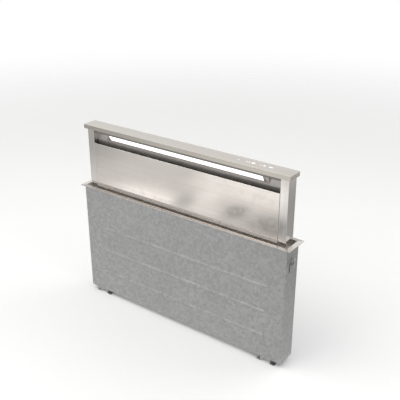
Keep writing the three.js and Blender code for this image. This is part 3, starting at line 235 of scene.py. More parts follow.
class VentDetails(bpy.types.PropertyGroup):
    """Sizes of the edges and of the small fixings and marks."""

    sheet_edge: FloatProperty(
        name="Sheet edge", description="Rounding of folded and cut sheet edges",
        unit="LENGTH", min=0.0001, max=0.002, default=0.0005)
    block_edge: FloatProperty(
        name="Block edge", description="Rounding of moulded and machined edges",
        unit="LENGTH", min=0.0001, max=0.003, default=0.0007)
    rivet_radius: FloatProperty(
        name="Rivet radius", description="Radius of the blind rivets' heads",
        unit="LENGTH", min=0.001, max=0.006, default=0.0034)
    screw_radius: FloatProperty(
        name="Screw radius", description="Radius of the sheet screws' heads",
        unit="LENGTH", min=0.001, max=0.006, default=0.0036)
    rivet_spacing: FloatProperty(
        name="Rivet spacing", description="Largest distance between neighbouring rivets",
        unit="LENGTH", min=0.03, max=0.3, default=0.11)
    mesh_pitch: FloatProperty(
        name="Mesh pitch", description="Length of one diamond of the filter mesh",
        unit="LENGTH", min=0.004, max=0.03, default=0.0115)
    strand_width: FloatProperty(
        name="Strand width", description="Width of one strand of the filter mesh",
        unit="LENGTH", min=0.0004, max=0.003, default=0.0013)
    mark_size: FloatProperty(
        name="Touch mark size", description="Width of a touch key's mark on the cap",
        unit="LENGTH", min=0.002, max=0.02, default=0.008)
    motor_fins: IntProperty(
        name="Motor fins", description="Number of cooling ribs round the blower motor",
        min=8, max=60, default=30)


class VentStudio(bpy.types.PropertyGroup):
    """Floor, lamps and camera."""

    floor_radius: FloatProperty(
        name="Floor radius", description="Radius of the round floor, which fades out at its rim",
        unit="LENGTH", min=1.0, max=20.0, default=6.0)
    sky_level: FloatProperty(
        name="Sky level", description="Light that reaches dull surfaces from all round",
        min=0.0, max=2.0, default=0.62)
    key_watts: FloatProperty(
        name="Key lamp", description="Power of the large soft lamp in front",
        unit="POWER", min=0.0, max=500.0, default=72.0)
    fill_watts: FloatProperty(
        name="Fill lamp", description="Power of the soft lamps at the side and behind",
        unit="POWER", min=0.0, max=500.0, default=16.0)
    lens: FloatProperty(
        name="Lens", description="Focal length on a 36 mm sensor",
        unit="CAMERA", min=10.0, max=200.0, default=60.15)


def details():
    """The sizes that are set for edges, fixings and marks."""
    return bpy.context.scene.vent_details


# ---------------------------------------------------------------- mesh helpers


def new_piece(name, mesh, look, body):
    """An object of a finished mesh that rides on a CAD body, with a finish."""
    piece = bpy.data.objects.new(name, mesh)
    bpy.context.scene.collection.objects.link(piece)
    mesh.materials.clear()
    mesh.materials.append(finish(look))
    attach(piece, body)
    return piece


def mesh_from(name, bm, smooth=True):
    """Turns a bmesh into a mesh and frees it."""
    mesh = bpy.data.meshes.new(name)
    bm.normal_update()
    bm.to_mesh(mesh)
    bm.free()
    for face in mesh.polygons:
        face.use_smooth = smooth
    return mesh


def built_piece(name, bm, look, body, smooth=True):
    """A new piece straight from a bmesh."""
    return new_piece(name, mesh_from(name, bm, smooth), look, body)


def round_edges(piece, width, segments=2, angle=SHARP_FROM):
    """Rounds a piece's sharp edges and keeps its flat faces flat in the shading."""
    bevel = piece.modifiers.new("Edges", "BEVEL")
    bevel.width = width
    bevel.segments = segments
    bevel.limit_method = "ANGLE"
    bevel.angle_limit = radians(angle)
    bevel.harden_normals = False
    bevel.use_clamp_overlap = True
    bevel.miter_outer = "MITER_ARC"
    weighted = piece.modifiers.new("Flat faces", "WEIGHTED_NORMAL")
    weighted.keep_sharp = True
    weighted.weight = 90


def lay_grain(mesh, axis):
    """A UV map whose U runs along the brushing, so that highlights spread across it."""
    layer = mesh.uv_layers.get("Grain") or mesh.uv_layers.new(name="Grain")
    for face in mesh.polygons:
        facing = max(range(3), key=lambda k: abs(face.normal[k]))
        along = axis if facing != axis else (axis + 1) % 3
        across = 3 - along - facing
        for loop in face.loop_indices:
            place = mesh.vertices[mesh.loops[loop].vertex_index].co
            layer.data[loop].uv = (place[along], place[across])


def dressed(node, look, edge=None, grain=None, segments=2, angle=SHARP_FROM, pierced=False):
    """A copy of a CAD node with merged flat faces and rounded edges, which stands for the node.
    A pierced one keeps its flat faces in triangles, so that none spans a hole."""
    source = frame["nodes"][node]
    bm = bmesh.new()
    bm.from_mesh(source.data)
    bmesh.ops.remove_doubles(bm, verts=bm.verts, dist=MERGED_WITHIN)
    bmesh.ops.dissolve_limit(bm, angle_limit=radians(FLAT_WITHIN), verts=bm.verts, edges=bm.edges)
    if pierced:
        bmesh.ops.triangulate(bm, faces=[face for face in bm.faces if len(face.verts) > 4])
    mesh = mesh_from(node + "_sheet", bm)
    mesh.uv_layers.active = None
    for layer in list(mesh.uv_layers):
        mesh.uv_layers.remove(layer)
    if grain is not None:
        lay_grain(mesh, grain)
    piece = new_piece(node + "_dressed", mesh, look, source["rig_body"])
    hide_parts(node)
    round_edges(piece, edge or details().sheet_edge, segments, angle)


def painted(node, look):
    """A CAD node whose shape is right, with its finish."""
    piece = frame["nodes"][node]
    piece.data.materials.clear()
    piece.data.materials.append(finish(look))


def facing_matrix(place, normal):
    """Puts a shape that is built on Z at a place, with its Z along a normal."""
    turn = Vector((0, 0, 1)).rotation_difference(Vector(normal).normalized())
    return Matrix.Translation(place) @ turn.to_matrix().to_4x4()


def lathe(bm, profile, matrix, steps):
    """Adds a profile of (radius, height) points turned about the matrix's Z axis."""
    rings = []
    for radius, height in profile:
        if radius < 1e-7:
            rings.append([bm.verts.new(matrix @ Vector((0, 0, height)))])
            continue
        turns = (2 * pi * i / steps for i in range(steps))
        rings.append([bm.verts.new(matrix @ Vector((radius * cos(a), radius * sin(a), height)))
                      for a in turns])
    for lower, upper in zip(rings, rings[1:]):
        for i in range(steps):
            j = (i + 1) % steps
            if len(lower) == 1:
                bm.faces.new((lower[0], upper[j], upper[i])[::-1])
            elif len(upper) == 1:
                bm.faces.new((lower[i], lower[j], upper[0]))
            else:
                bm.faces.new((lower[i], lower[j], upper[j], upper[i]))


def slab(bm, low, high, matrix=Matrix.Identity(4)):
    """Adds a box between two corners."""
    corners = [bm.verts.new(matrix @ Vector((x, y, z)))
               for x in (low[0], high[0]) for y in (low[1], high[1]) for z in (low[2], high[2])]
    for face in ((0, 1, 3, 2), (4, 6, 7, 5), (0, 4, 5, 1), (2, 3, 7, 6), (0, 2, 6, 4),
                 (1, 5, 7, 3)):
        bm.faces.new([corners[i] for i in face])


def evenly(start, end, spacing):
    """Places from start to end, both taken in, no further apart than the spacing."""
    count = max(1, round(abs(end - start) / spacing))
    return [start + (end - start) * i / count for i in range(count + 1)]


def heads(name, places, normal, radius, profile, look, body="housing"):
    """One piece of many rivet or screw heads, each at a place on a face with this normal."""
    bm = bmesh.new()
    shape = [(r * radius, h * radius * PROUD) for r, h in profile]
    for place in places:
        lathe(bm, shape[::-1], facing_matrix(place, normal), HEAD_STEPS)
    built_piece(name, bm, look, body)


# ---------------------------------------------------------------- shader helpers


def node(tree, kind, values=None, **settings):
    """A shader node; values are sockets to link from, or constants, by input name or number."""
    made = tree.nodes.new("ShaderNode" + kind)
    for key, value in settings.items():
        setattr(made, key, value)
    for key, value in (values or {}).items():
        socket = made.inputs[key]
        if isinstance(value, bpy.types.NodeSocket):
            tree.links.new(value, socket)
        else:
            socket.default_value = value
    return made


def maths(tree, operation, *values):
    """A Math node's output, from sockets or numbers."""
    return node(tree, "Math", dict(enumerate(values)), operation=operation).outputs[0]


def times(tree, a, b):
    """Two sockets or numbers multiplied."""
    return maths(tree, "MULTIPLY", a, b)


def summed(tree, *terms, base=None):
    """The sum of (value, share) terms, each value times its share, on top of a base."""
    total = None
    for value, share in terms:
        part = times(tree, value, share)
        total = part if total is None else maths(tree, "ADD", total, part)
    return total if base is None else maths(tree, "ADD", total, base)


def ramp(tree, value, start, end, low=0.0, high=1.0):
    """A value taken smoothly from one span to another."""
    return node(tree, "MapRange", {"Value": value, "From Min": start, "From Max": end,
                                   "To Min": low, "To Max": high},
                interpolation_type="SMOOTHSTEP").outputs[0]


def mixed(tree, share, a, b):
    """Two colours mixed by a share."""
    made = tree.nodes.new("ShaderNodeMix")
    made.data_type = "RGBA"
    for socket, value in ((0, share), (6, a), (7, b)):
        if isinstance(value, bpy.types.NodeSocket):
            tree.links.new(value, made.inputs[socket])
        elif socket == 0:
            made.inputs[0].default_value = value
        else:
            made.inputs[socket].default_value = (*value[:3], 1.0)
    return made.outputs[2]


def scaled(tree, vector, factors):
    """A vector times three factors."""
    return node(tree, "VectorMath", {0: vector, 1: factors}, operation="MULTIPLY").outputs[0]


def split(tree, vector):
    """A vector's three parts."""
    return node(tree, "SeparateXYZ", {0: vector}).outputs


def noise(tree, vector, scale, detail, roughness=0.5, distortion=0.0):
    """A noise texture's value."""
    return node(tree, "TexNoise", {"Vector": vector, "Scale": scale, "Detail": detail,
                                   "Roughness": roughness, "Distortion": distortion}).outputs[0]


def tinted(colour, tint):
    """A colour times a tint, or times one number, kept within 1."""
    factors = tint if hasattr(tint, "__len__") else (tint, tint, tint)
    return tuple(min(1.0, c * t) for c, t in zip(colour, factors))


# ---------------------------------------------------------------- shared effects


def new_group(name, inputs, outputs):
    """An empty shader node group: its tree, its inputs by name and its output node. Each group
    takes the place on the surface as its first input."""
    tree = bpy.data.node_groups.new(name, "ShaderNodeTree")
    for label, kind, default in (("Vector", "Vector", ORIGIN), *inputs):
        socket = tree.interface.new_socket(label, in_out="INPUT", socket_type="NodeSocket" + kind)
        socket.default_value = default
    for label in outputs:
        tree.interface.new_socket(label, in_out="OUTPUT", socket_type="NodeSocketFloat")
    given = tree.nodes.new("NodeGroupInput").outputs
    return tree, given, given["Vector"], tree.nodes.new("NodeGroupOutput").inputs


def brushed_grain():
    """Fine brushing lines and the broader bands that they gather into."""
    tree, given, place, out = new_group(
        "Brushed Grain",
        [("Stretch", "Vector", (6.0, 900.0, 900.0)), ("Bands", "Vector", (0.6, 60.0, 60.0))],
        ["Lines", "Bands"])
    fine = noise(tree, scaled(tree, place, given["Stretch"]), 1.0, 3.0, 0.62)
    broad = noise(tree, scaled(tree, place, given["Bands"]), 1.0, 4.0, 0.55)
    tree.links.new(ramp(tree, fine, 0.3, 0.7), out["Lines"])
    tree.links.new(ramp(tree, broad, 0.34, 0.66), out["Bands"])


def wiped_clouds():
    """Soft wide clouds with finer wiping marks, as hands and cloths leave on metal."""
    tree, given, place, out = new_group(
        "Wiped Clouds", [("Size", "Float", 0.25), ("Sharpness", "Float", 0.5)],
        ["Clouds", "Smears"])
    spread = maths(tree, "DIVIDE", 1.0, given["Size"])
    wide = noise(tree, place, spread, 2.0, given["Sharpness"], 0.5)
    fine = noise(tree, place, times(tree, spread, 7.0), 4.0, 0.6, 1.4)
    tree.links.new(ramp(tree, wide, 0.32, 0.68), out["Clouds"])
    tree.links.new(ramp(tree, fine, 0.42, 0.7), out["Smears"])


def edge_wear():
    """Where the surface bends within a few tenths of a millimetre, broken up by noise."""
    tree, given, place, out = new_group("Edge Wear", [("Reach", "Float", 0.0012)], ["Edges"])
    rounded = node(tree, "Bevel", {"Radius": given["Reach"]}, samples=4).outputs[0]
    plain_normal = node(tree, "NewGeometry").outputs["Normal"]
    agree = node(tree, "VectorMath", {0: rounded, 1: plain_normal},
                 operation="DOT_PRODUCT").outputs["Value"]
    chips = ramp(tree, noise(tree, place, 90.0, 3.0), 0.3, 0.62)
    tree.links.new(times(tree, ramp(tree, agree, 0.998, 0.9), chips), out["Edges"])


def zinc_spangle():
    """The frosted crystals of hot-dip zinc: a tone for each crystal and a faint relief."""
    tree, given, place, out = new_group(
        "Zinc Spangle", [("Crystals", "Float", 95.0)], ["Tone", "Relief"])
    bent = node(tree, "TexNoise", {"Vector": place, "Scale": 60.0, "Detail": 2.0}).outputs["Color"]
    moved = node(tree, "VectorMath", {0: place, 1: scaled(tree, bent, (0.0024, 0.0024, 0.0024))},
                 operation="ADD").outputs[0]
    crystals = node(tree, "TexVoronoi", {"Vector": moved, "Scale": given["Crystals"]}).outputs
    seed = node(tree, "SeparateColor", {0: crystals["Color"]}).outputs[0]
    feather = noise(tree, place, 900.0, 2.0)
    tree.links.new(summed(tree, (seed, 0.8), (feather, 0.2)), out["Tone"])
    tree.links.new(times(tree, seed, crystals["Distance"]), out["Relief"])


def settled_dust():
    """Dust on faces that look up, thicker in patches."""
    tree, _, place, out = new_group("Settled Dust", [], ["Dust"])
    up = split(tree, node(tree, "NewGeometry").outputs["Normal"])[2]
    patches = ramp(tree, noise(tree, place, 34.0, 5.0, 0.7), 0.3, 0.75)
    tree.links.new(times(tree, ramp(tree, up, 0.2, 0.95, 0.12, 1.0), patches), out["Dust"])


def moulded_skin():
    """The fine pebbled skin of paint, rubber and moulded plastic."""
    tree, given, place, out = new_group(
        "Moulded Skin", [("Pebbles", "Float", 1500.0)], ["Relief", "Tone"])
    pebbles = node(tree, "TexVoronoi", {"Vector": place, "Scale": given["Pebbles"]},
                   feature="SMOOTH_F1")
    tree.links.new(pebbles.outputs["Distance"], out["Relief"])
    tree.links.new(noise(tree, place, 28.0, 3.0), out["Tone"])


def turning_rings():
    """The fine rings that a lathe or a mould leaves, across the given axis."""
    tree, given, place, out = new_group(
        "Turning Rings", [("Rings", "Vector", (0.0, 0.0, 2200.0))], ["Rings"])
    tree.links.new(noise(tree, scaled(tree, place, given["Rings"]), 1.0, 2.0), out["Rings"])


SHARED_EFFECTS = (brushed_grain, wiped_clouds, edge_wear, zinc_spangle, settled_dust, moulded_skin,
                  turning_rings)


# ---------------------------------------------------------------- materials


class Paintbox:
    """Builds one material: its tree, the place on the piece, and its Principled shader."""

    def __init__(self, name):
        self.material = bpy.data.materials.new(FINISH_PREFIX + name)
        self.material.use_nodes = True
        self.tree = self.material.node_tree
        self.shader = self.tree.nodes["Principled BSDF"]
        self.place = node(self.tree, "TexCoord").outputs["Object"]

    def group(self, name, **values):
        """A shared effect, with its inputs given by name."""
        made = self.tree.nodes.new("ShaderNodeGroup")
        made.node_tree = bpy.data.node_groups[name]
        self.tree.links.new(self.place, made.inputs["Vector"])
        for key, value in values.items():
            made.inputs[key].default_value = value
        return made.outputs

    def edges(self, reach):
        """The mask of worn edges."""
        return self.group("Edge Wear", Reach=reach)["Edges"]

    def dust(self, amount):
        """The mask of settled dust."""
        return times(self.tree, self.group("Settled Dust")["Dust"], amount)

    def set(self, **values):
        """Constants or links on the shader, with _ for the spaces in a socket's name."""
        for key, value in values.items():
            socket = self.shader.inputs[key.replace("_", " ")]
            if isinstance(value, bpy.types.NodeSocket):
                self.tree.links.new(value, socket)
            elif hasattr(value, "__len__") and len(value) == 3:
                socket.default_value = (*value, 1.0)
            else:
                socket.default_value = value

    def bump(self, height, strength, distance):
        """A Bump node on the shader's normal."""
        self.set(Normal=node(self.tree, "Bump", {"Height": height, "Strength": strength,
                                                 "Distance": distance}).outputs[0])


def finish(name):
    """The material made under a finish's name."""
    return bpy.data.materials[FINISH_PREFIX + name]


def stainless(name, grain, tint=WHITE, rough=0.22, foot=None):
    """Brushed stainless sheet with its grain along one axis, duller at its foot if it has one."""
    finishes = bpy.context.scene.vent_finishes
    box = Paintbox(name)
    tree = box.tree
    lines = box.group("Brushed Grain", Stretch=GRAIN_STRETCH[grain], Bands=GRAIN_BANDS[grain])
    clouds = box.group("Wiped Clouds", Size=0.26)
    bright = tinted(finishes.steel, tint)
    # The wide clouds in the colour are partly wiping marks and partly painted reflection of the room
    dark_share = summed(tree, (lines["Lines"], 0.1), (lines["Bands"], 0.09),
                        (clouds["Clouds"], 0.09))
    worn = times(tree, box.edges(0.0012), finishes.edge_wear)
    colour = mixed(tree, dark_share, bright, tinted(finishes.steel_shade, tint))
    roughness = [(lines["Bands"], 0.03), (clouds["Smears"], 0.05)]
    if foot:
        dulling, start, end = foot
        height = split(tree, box.place)[2]
        roughness.append((times(tree, ramp(tree, height, start, 0.4 * start),
                                ramp(tree, height, end, end + 0.003)), dulling))
    tangent = node(tree, "Tangent", direction_type="UV_MAP", uv_map="Grain").outputs[0]
    box.set(Base_Color=mixed(tree, worn, colour, tinted(bright, 1.3)), Metallic=1.0,
            Roughness=summed(tree, *roughness, base=rough - 0.05),
            Anisotropic=0.6, Anisotropic_Rotation=0.25, Tangent=tangent)
    box.bump(lines["Lines"], finishes.grain_depth, 0.00002)


def flange_steel():
    """Brushed stainless whose grain turns at the mitred corners of the flange; its front and back
    strips are painted darker than its end strips as painted shade.
    """
    finishes = bpy.context.scene.vent_finishes
    steel, shade = finishes.steel, finishes.steel_shade
    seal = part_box("wiper_seal")[1]
    box = Paintbox("flange_steel")
    tree = box.tree
    along = box.group("Brushed Grain", Stretch=GRAIN_STRETCH[ALONG_X], Bands=GRAIN_BANDS[ALONG_X])
    across = box.group("Brushed Grain", Stretch=GRAIN_STRETCH[ALONG_Y], Bands=GRAIN_BANDS[ALONG_Y])
    apart = split(tree, box.place)
    past_end = maths(tree, "SUBTRACT", maths(tree, "ABSOLUTE", apart[0]), seal.x)
    past_side = maths(tree, "SUBTRACT", maths(tree, "ABSOLUTE", apart[1]), seal.y)
    mitre = maths(tree, "SUBTRACT", past_end, past_side)
    at_end = maths(tree, "GREATER_THAN", mitre, 0.0)
    seam = ramp(tree, maths(tree, "ABSOLUTE", mitre), 0.0008, 0.0002)
    lines = summed(tree, (across["Lines"], at_end),
                   (along["Lines"], maths(tree, "SUBTRACT", 1.0, at_end)))
    dark_share = summed(tree, (lines, 0.2), (along["Bands"], 0.2))
    # Front and back strips at 0.58 of the steel: painted shade, darker than the end strips
    painted_shade_strip = tinted(steel, 0.58)
    colour = mixed(tree, dark_share, mixed(tree, at_end, painted_shade_strip, steel), shade)
    # Edges brightened: partly edge wear, partly a painted highlight along the rounded edges
    colour = mixed(tree, times(tree, box.edges(0.0014), 0.6), colour, tinted(steel, 1.35))
    colour = mixed(tree, times(tree, seam, 0.5), colour, tinted(shade, 0.5))
    skirt = ramp(tree, apart[2], 0.0005, -0.0015, 0.2, 0.6)
    box.set(Base_Color=colour, Metallic=1.0, Roughness=summed(tree, (lines, 0.08), base=skirt))
    box.bump(maths(tree, "SUBTRACT", lines, seam), finishes.grain_depth, 0.00008)


def galvanised():
    """Hot-dip zinc sheet with spangle, dull patches, dust and bright cut edges."""
    finishes = bpy.context.scene.vent_finishes
    zinc = finishes.zinc
    box = Paintbox("galvanised_sheet")
    tree = box.tree
    spangle = box.group("Zinc Spangle", Crystals=115.0)
    clouds = box.group("Wiped Clouds", Size=0.3)
    dust = box.dust(finishes.dust)
    colour = mixed(tree, spangle["Tone"], tinted(zinc, 0.85), tinted(zinc, 1.18))
    colour = mixed(tree, times(tree, clouds["Clouds"], 0.2), colour, tinted(zinc, 0.78))
    colour = mixed(tree, times(tree, box.edges(0.0012), finishes.edge_wear), colour, CUT_ZINC)
    roughness = summed(tree, (spangle["Tone"], 0.08), (clouds["Smears"], 0.06), base=0.36)
    box.set(Base_Color=mixed(tree, dust, colour, DUST_COLOUR),
            Metallic=maths(tree, "SUBTRACT", 1.0, dust),
            Roughness=maths(tree, "ADD", roughness, dust))
    box.bump(spangle["Relief"], 0.1, 0.0002)


def bare_metal(name, colour, rough, rings=(0.0, 0.0, 2200.0), wear=0.4):
    """Turned or rolled bare metal with fine tool rings and handled edges."""
    box = Paintbox(name)
    tree = box.tree
    lines = box.group("Turning Rings", Rings=rings)["Rings"]
    clouds = box.group("Wiped Clouds", Size=0.05)
    dark_share = summed(tree, (lines, 0.35), (clouds["Clouds"], 0.35))
    worn = times(tree, box.edges(0.0008), wear)
    mix = mixed(tree, dark_share, tinted(colour, 1.12), tinted(colour, 0.62))
    box.set(Base_Color=mixed(tree, worn, mix, tinted(colour, 1.7)), Metallic=1.0,
            Roughness=summed(tree, (clouds["Smears"], 0.14), base=rough))
    box.bump(lines, 0.2, 0.00008)


def moulded(name, colour, rough, pebbles=1500.0, relief=0.18, worn=0.25):
    """Paint, rubber or moulded plastic: pebbled skin, uneven tone, rubbed edges and dust."""
    box = Paintbox(name)
    tree = box.tree
    skin = box.group("Moulded Skin", Pebbles=pebbles)
    mix = mixed(tree, ramp(tree, skin["Tone"], 0.35, 0.65), tinted(colour, 0.84),
                tinted(colour, 1.14))
    rubbed = tuple(min(1.0, c * 1.35 + 0.04) for c in colour)
    mix = mixed(tree, times(tree, box.edges(0.001), worn), mix, rubbed)
    dust = box.dust(0.6 * bpy.context.scene.vent_finishes.dust)
    box.set(Base_Color=mixed(tree, dust, mix, DUST_COLOUR),
            Roughness=summed(tree, (skin["Tone"], 0.16), base=rough - 0.08))
    box.bump(skin["Relief"], relief, 0.00012)


def lit_diffuser():
    """Frosted white plastic over the lamps, brighter over each one."""
    finishes = bpy.context.scene.vent_finishes
    low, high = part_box("led_diffuser")
    pitch = (high.x - low.x) / LAMP_COUNT
    box = Paintbox("light_diffuser")
    tree = box.tree
    skin = box.group("Moulded Skin", Pebbles=2600.0)
    turn = times(tree, maths(tree, "ADD", split(tree, box.place)[0], pitch / 2), 2 * pi / pitch)
    glow = ramp(tree, maths(tree, "COSINE", turn), -1.0, 1.0, 0.93, 1.0)
    light = node(tree, "VectorMath", {0: tuple(finishes.lamp), "Scale": glow},
                 operation="SCALE").outputs[0]
    box.set(Base_Color=mixed(tree, skin["Tone"], (0.86, 0.86, 0.85), (0.93, 0.93, 0.92)),
            Roughness=summed(tree, (skin["Tone"], 0.1), base=0.42), Specular_IOR_Level=0.4,
            Emission_Color=light, Emission_Strength=finishes.lamp_strength)
    box.bump(skin["Relief"], 0.08, 0.0001)


def circuit_board():
    """Green lacquered board with copper tracks under the lacquer and bare pads."""
    box = Paintbox("circuit_board")
    tree = box.tree
    turned = node(tree, "Mapping", {"Vector": box.place, "Rotation": (pi / 2, 0.0, 0.0)}).outputs[0]
    tracks = node(tree, "TexBrick", {
        "Vector": turned, "Scale": 60.0, "Mortar Size": 0.035, "Mortar Smooth": 0.2,
        "Color1": (0.02, 0.13, 0.06, 1.0), "Color2": (0.028, 0.17, 0.08, 1.0),
        "Mortar": (0.05, 0.27, 0.12, 1.0)}).outputs
    pads = node(tree, "TexVoronoi", {"Vector": box.place, "Scale": 160.0}, distance="EUCLIDEAN")
    bare = ramp(tree, pads.outputs["Distance"], 0.17, 0.12)
    box.set(Base_Color=mixed(tree, bare, tracks["Color"], (0.62, 0.55, 0.38)),
            Metallic=bare, Roughness=ramp(tree, bare, 0.0, 1.0, 0.28, 0.42), Coat_Weight=0.3)
    box.bump(maths(tree, "ADD", tracks["Fac"], bare), 0.3, 0.00006)


def touch_ink():
    """Pale etched mark, a little rougher than the metal round it, with a faint painted glow as
    painted light.
    """
    box = Paintbox("touch_mark")
    skin = box.group("Moulded Skin", Pebbles=3200.0)
    # White emission on a mark that is no lamp: painted light
    box.set(Base_Color=mixed(box.tree, skin["Tone"], (0.86, 0.85, 0.83), (0.95, 0.94, 0.92)),
            Roughness=summed(box.tree, (skin["Tone"], 0.1), base=0.45),
            Emission_Color=WHITE, Emission_Strength=0.5)
    box.bump(skin["Relief"], 0.1, 0.00005)


def make_materials():
    """Every finish, once, under the name that the pieces ask for."""
    for effect in SHARED_EFFECTS:
        effect()
    finishes = bpy.context.scene.vent_finishes
    stainless("steel_panel", ALONG_X, rough=0.11, foot=PANEL_FOOT)
    stainless("steel_cap", ALONG_X, tint=(0.83, 0.83, 0.8))
    stainless("steel_upright", ALONG_Z, tint=(1.02, 1.04, 1.06), rough=0.15, foot=COLUMN_FOOT)
    # Darker copy of the brushed steel for the slot: painted shade on the light bar and the slot's
    # end plates
    stainless("steel_slot_painted_shade", ALONG_X, tint=(0.78, 0.78, 0.79), rough=0.42)
    # Much darker copy for the trim strip's fold: painted shade, the dark line above the diffuser
    stainless("steel_lip", ALONG_X, tint=(0.4, 0.4, 0.4), rough=0.42)
    flange_steel()
    galvanised()
    bare_metal("machined_steel", (0.42, 0.425, 0.43), 0.3)
    bare_metal("zinc_plated", (0.6, 0.6, 0.58), 0.26)
    bare_metal("pulley_aluminium", finishes.aluminium, 0.3)
    # The filters' dark tone is partly grease and partly painted shade inside the slot
    bare_metal("filter_aluminium", finishes.filter_grease_and_shade, 0.5, rings=(900.0, 0.0, 900.0), wear=0.2)
    bare_metal("pinion_brass", (0.62, 0.45, 0.2), 0.28)
    moulded("black_painted_steel", (0.022, 0.022, 0.024), 0.42, pebbles=1100.0, relief=0.3,
            worn=0.4)
    moulded("black_rubber", (0.014, 0.014, 0.015), 0.72, pebbles=2200.0, relief=0.22)
    # The seal's pale colour is painted light in the shadowed gap round the tower
    moulded("seal_rubber", finishes.seal, 0.62, pebbles=2200.0, relief=0.22)
    moulded("black_plastic", (0.018, 0.018, 0.02), 0.48)
    moulded("grey_plastic", (0.25, 0.26, 0.27), 0.46)
    moulded("white_acetal", (0.78, 0.77, 0.73), 0.36, relief=0.08)
    lit_diffuser()
    circuit_board()
    touch_ink()


# ---------------------------------------------------------------- pieces of the tower


def touch_marks():
    """The pale marks of the touch keys on the cap, right of its middle."""
    size = details().mark_size
    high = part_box("top_cap")[1]
    top = high.z + 0.00004
    bm = bmesh.new()

    def outline(x, half_x, half_y, bulge):
        """Points round a mark whose shape runs from an ellipse (bulge 2) to a bar (8)."""
        steps = 36
        points = []
        for i in range(steps):
            a = 2 * pi * i / steps
            reach = (abs(cos(a)) ** bulge + abs(sin(a)) ** bulge) ** (-1 / bulge)
            points.append(bm.verts.new((x + half_x * reach * cos(a),
                                        TOUCH_LINE + half_y * reach * sin(a), top)))
        return points

    for from_end, shape in TOUCH_KEYS:
        x = high.x - from_end
        if shape == "plus":
            arm, half = 0.5 * size, 0.17 * size
            corners = ((-arm, -half), (-half, -half), (-half, -arm), (half, -arm), (half, -half),
                       (arm, -half), (arm, half), (half, half), (half, arm), (-half, arm),
                       (-half, half), (-arm, half))
            bm.faces.new([bm.verts.new((x + u, TOUCH_LINE + v, top)) for u, v in corners])
            continue
        wide, deep, bulge, hole = TOUCH_SHAPES[shape]
        inner = outline(x, wide * size * hole, deep * size * hole, bulge) if hole else None
        outer = outline(x, wide * size, deep * size, bulge)
        if inner is None:
            bm.faces.new(outer)
            continue
        for i in range(len(outer)):
            bm.faces.new((inner[i - 1], outer[i - 1], outer[i], inner[i]))
    bmesh.ops.recalc_face_normals(bm, faces=bm.faces)
    piece = built_piece("touch_marks", bm, "touch_mark", "tower", smooth=False)
    thick = piece.modifiers.new("Thickness", "SOLIDIFY")
    thick.thickness = 0.00012
    thick.offset = -1.0


def cap_and_rail():
    """The cap with its marks, the rail under it and the touch keys' board."""
    dressed("top_cap", "steel_cap", edge=0.0009, grain=ALONG_X, segments=3)
    dressed("top_rail", "galvanised_sheet")
    painted("touch_board", "circuit_board")
    touch_marks()


def columns():
    """Both columns, with the screws in their backs that hold the top rail and the panels."""
    for side in SIDES:
        dressed(f"column_{side}", "steel_upright", edge=0.0009, grain=ALONG_Z, segments=3)
    low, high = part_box("column_right")
    centre = (low.x + high.x) / 2
    places = [(x, high.y, z) for x in (-centre, centre)
              for z in (high.z - 0.022, low.z + 0.11, low.z + 0.022)]
    heads("column_screws", places, BACK, 0.8 * details().screw_radius, SCREW, "machined_steel",
          "tower")


def panels():
    """The front and back panels, hung between the columns."""
    for side in ("front", "back"):
        dressed(f"{side}_panel", "steel_panel", edge=0.0007, grain=ALONG_X, segments=3)
    low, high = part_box("back_panel")
    edge = high.x - 0.014
    places = [(x, high.y, z) for z in (high.z - 0.012, low.z + 0.02)
              for x in evenly(-edge, edge, 2.2 * details().rivet_spacing)]
    heads("back_panel_rivets", places, BACK, 0.75 * details().rivet_radius, RIVET, "zinc_plated",
          "tower")


def light_bar():
    """The folded bar across the slot, its lit diffuser and the lamps' board behind that."""
    # The bar's steel is darkened as painted shade inside the slot
    dressed("light_bar", "steel_slot_painted_shade", edge=0.0006, grain=ALONG_X)
    dressed("led_diffuser", "light_diffuser", edge=0.0006, segments=3)
    painted("led_board", "circuit_board")
    diffuser_lip()
    for side in SIDES:
        slot_end(side)


def folded(name, front, back, x0, x1, look, edge):
    """A sheet of the tower folded along X, from its front and back profiles of (y, z) points."""
    bm = bmesh.new()
    ends = [[bm.verts.new((x, y, z)) for y, z in (*front, *back[::-1])] for x in (x0, x1)]
    count = len(ends[0])
    for i in range(count):
        j = (i + 1) % count
        bm.faces.new((ends[0][i], ends[1][i], ends[1][j], ends[0][j]))
    for end in ends:
        for i in range(len(front) - 1):
            bm.faces.new((end[i], end[i + 1], end[count - 2 - i], end[count - 1 - i]))
    bmesh.ops.recalc_face_normals(bm, faces=bm.faces)
    mesh = mesh_from(name, bm, smooth=False)
    lay_grain(mesh, ALONG_X)
    round_edges(new_piece(name, mesh, look, "tower"), edge)


def slot_end(side):
    """A plate that closes the slot between the light bar's end and a column."""
    low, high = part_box("light_bar")
    lap = 0.0003  # into the bar and the column
    x0, x1 = high.x - lap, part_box("column_right")[0].x + lap
    if side == "left":
        x0, x1 = -x1, -x0
    foot, top = low.z + 0.0002, high.z + 0.0002
    # The plate's steel is darkened as painted shade inside the slot
    folded(f"slot_end_{side}", ((0.0, foot), (0.0, top)), ((SLOT_SHEET, foot), (SLOT_SHEET, top)),
           x0, x1, "steel_slot_painted_shade", 0.0003)


def diffuser_lip():
    """The trim strip under the cap, from column to column, whose folded edge holds the diffuser's
    upper edge in the light bar. Its dark steel is painted shade, the shadow line above the diffuser."""
    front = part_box("light_bar")[0].y
    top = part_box("top_cap")[0].z - 0.0002
    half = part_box("column_right")[0].x - 0.0002
    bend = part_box("led_diffuser")[1].z + 0.0008
    clear = 0.0001  # of the strip's back from the bar's front
    end = Vector((0.0, front, bend)) + LIP_REACH * Vector((0.0, 0.5, -0.866))
    out = Vector((0.0, -0.866, -0.5))
    sides = []
    for proud in (LIP_SHEET + clear, clear):
        tip = end + proud * out
        sides.append(((front - proud, top), (front - proud, bend - 0.4 * proud), (tip.y, tip.z)))
    folded("diffuser_lip", *sides, -half, half, "steel_lip", 0.0002)


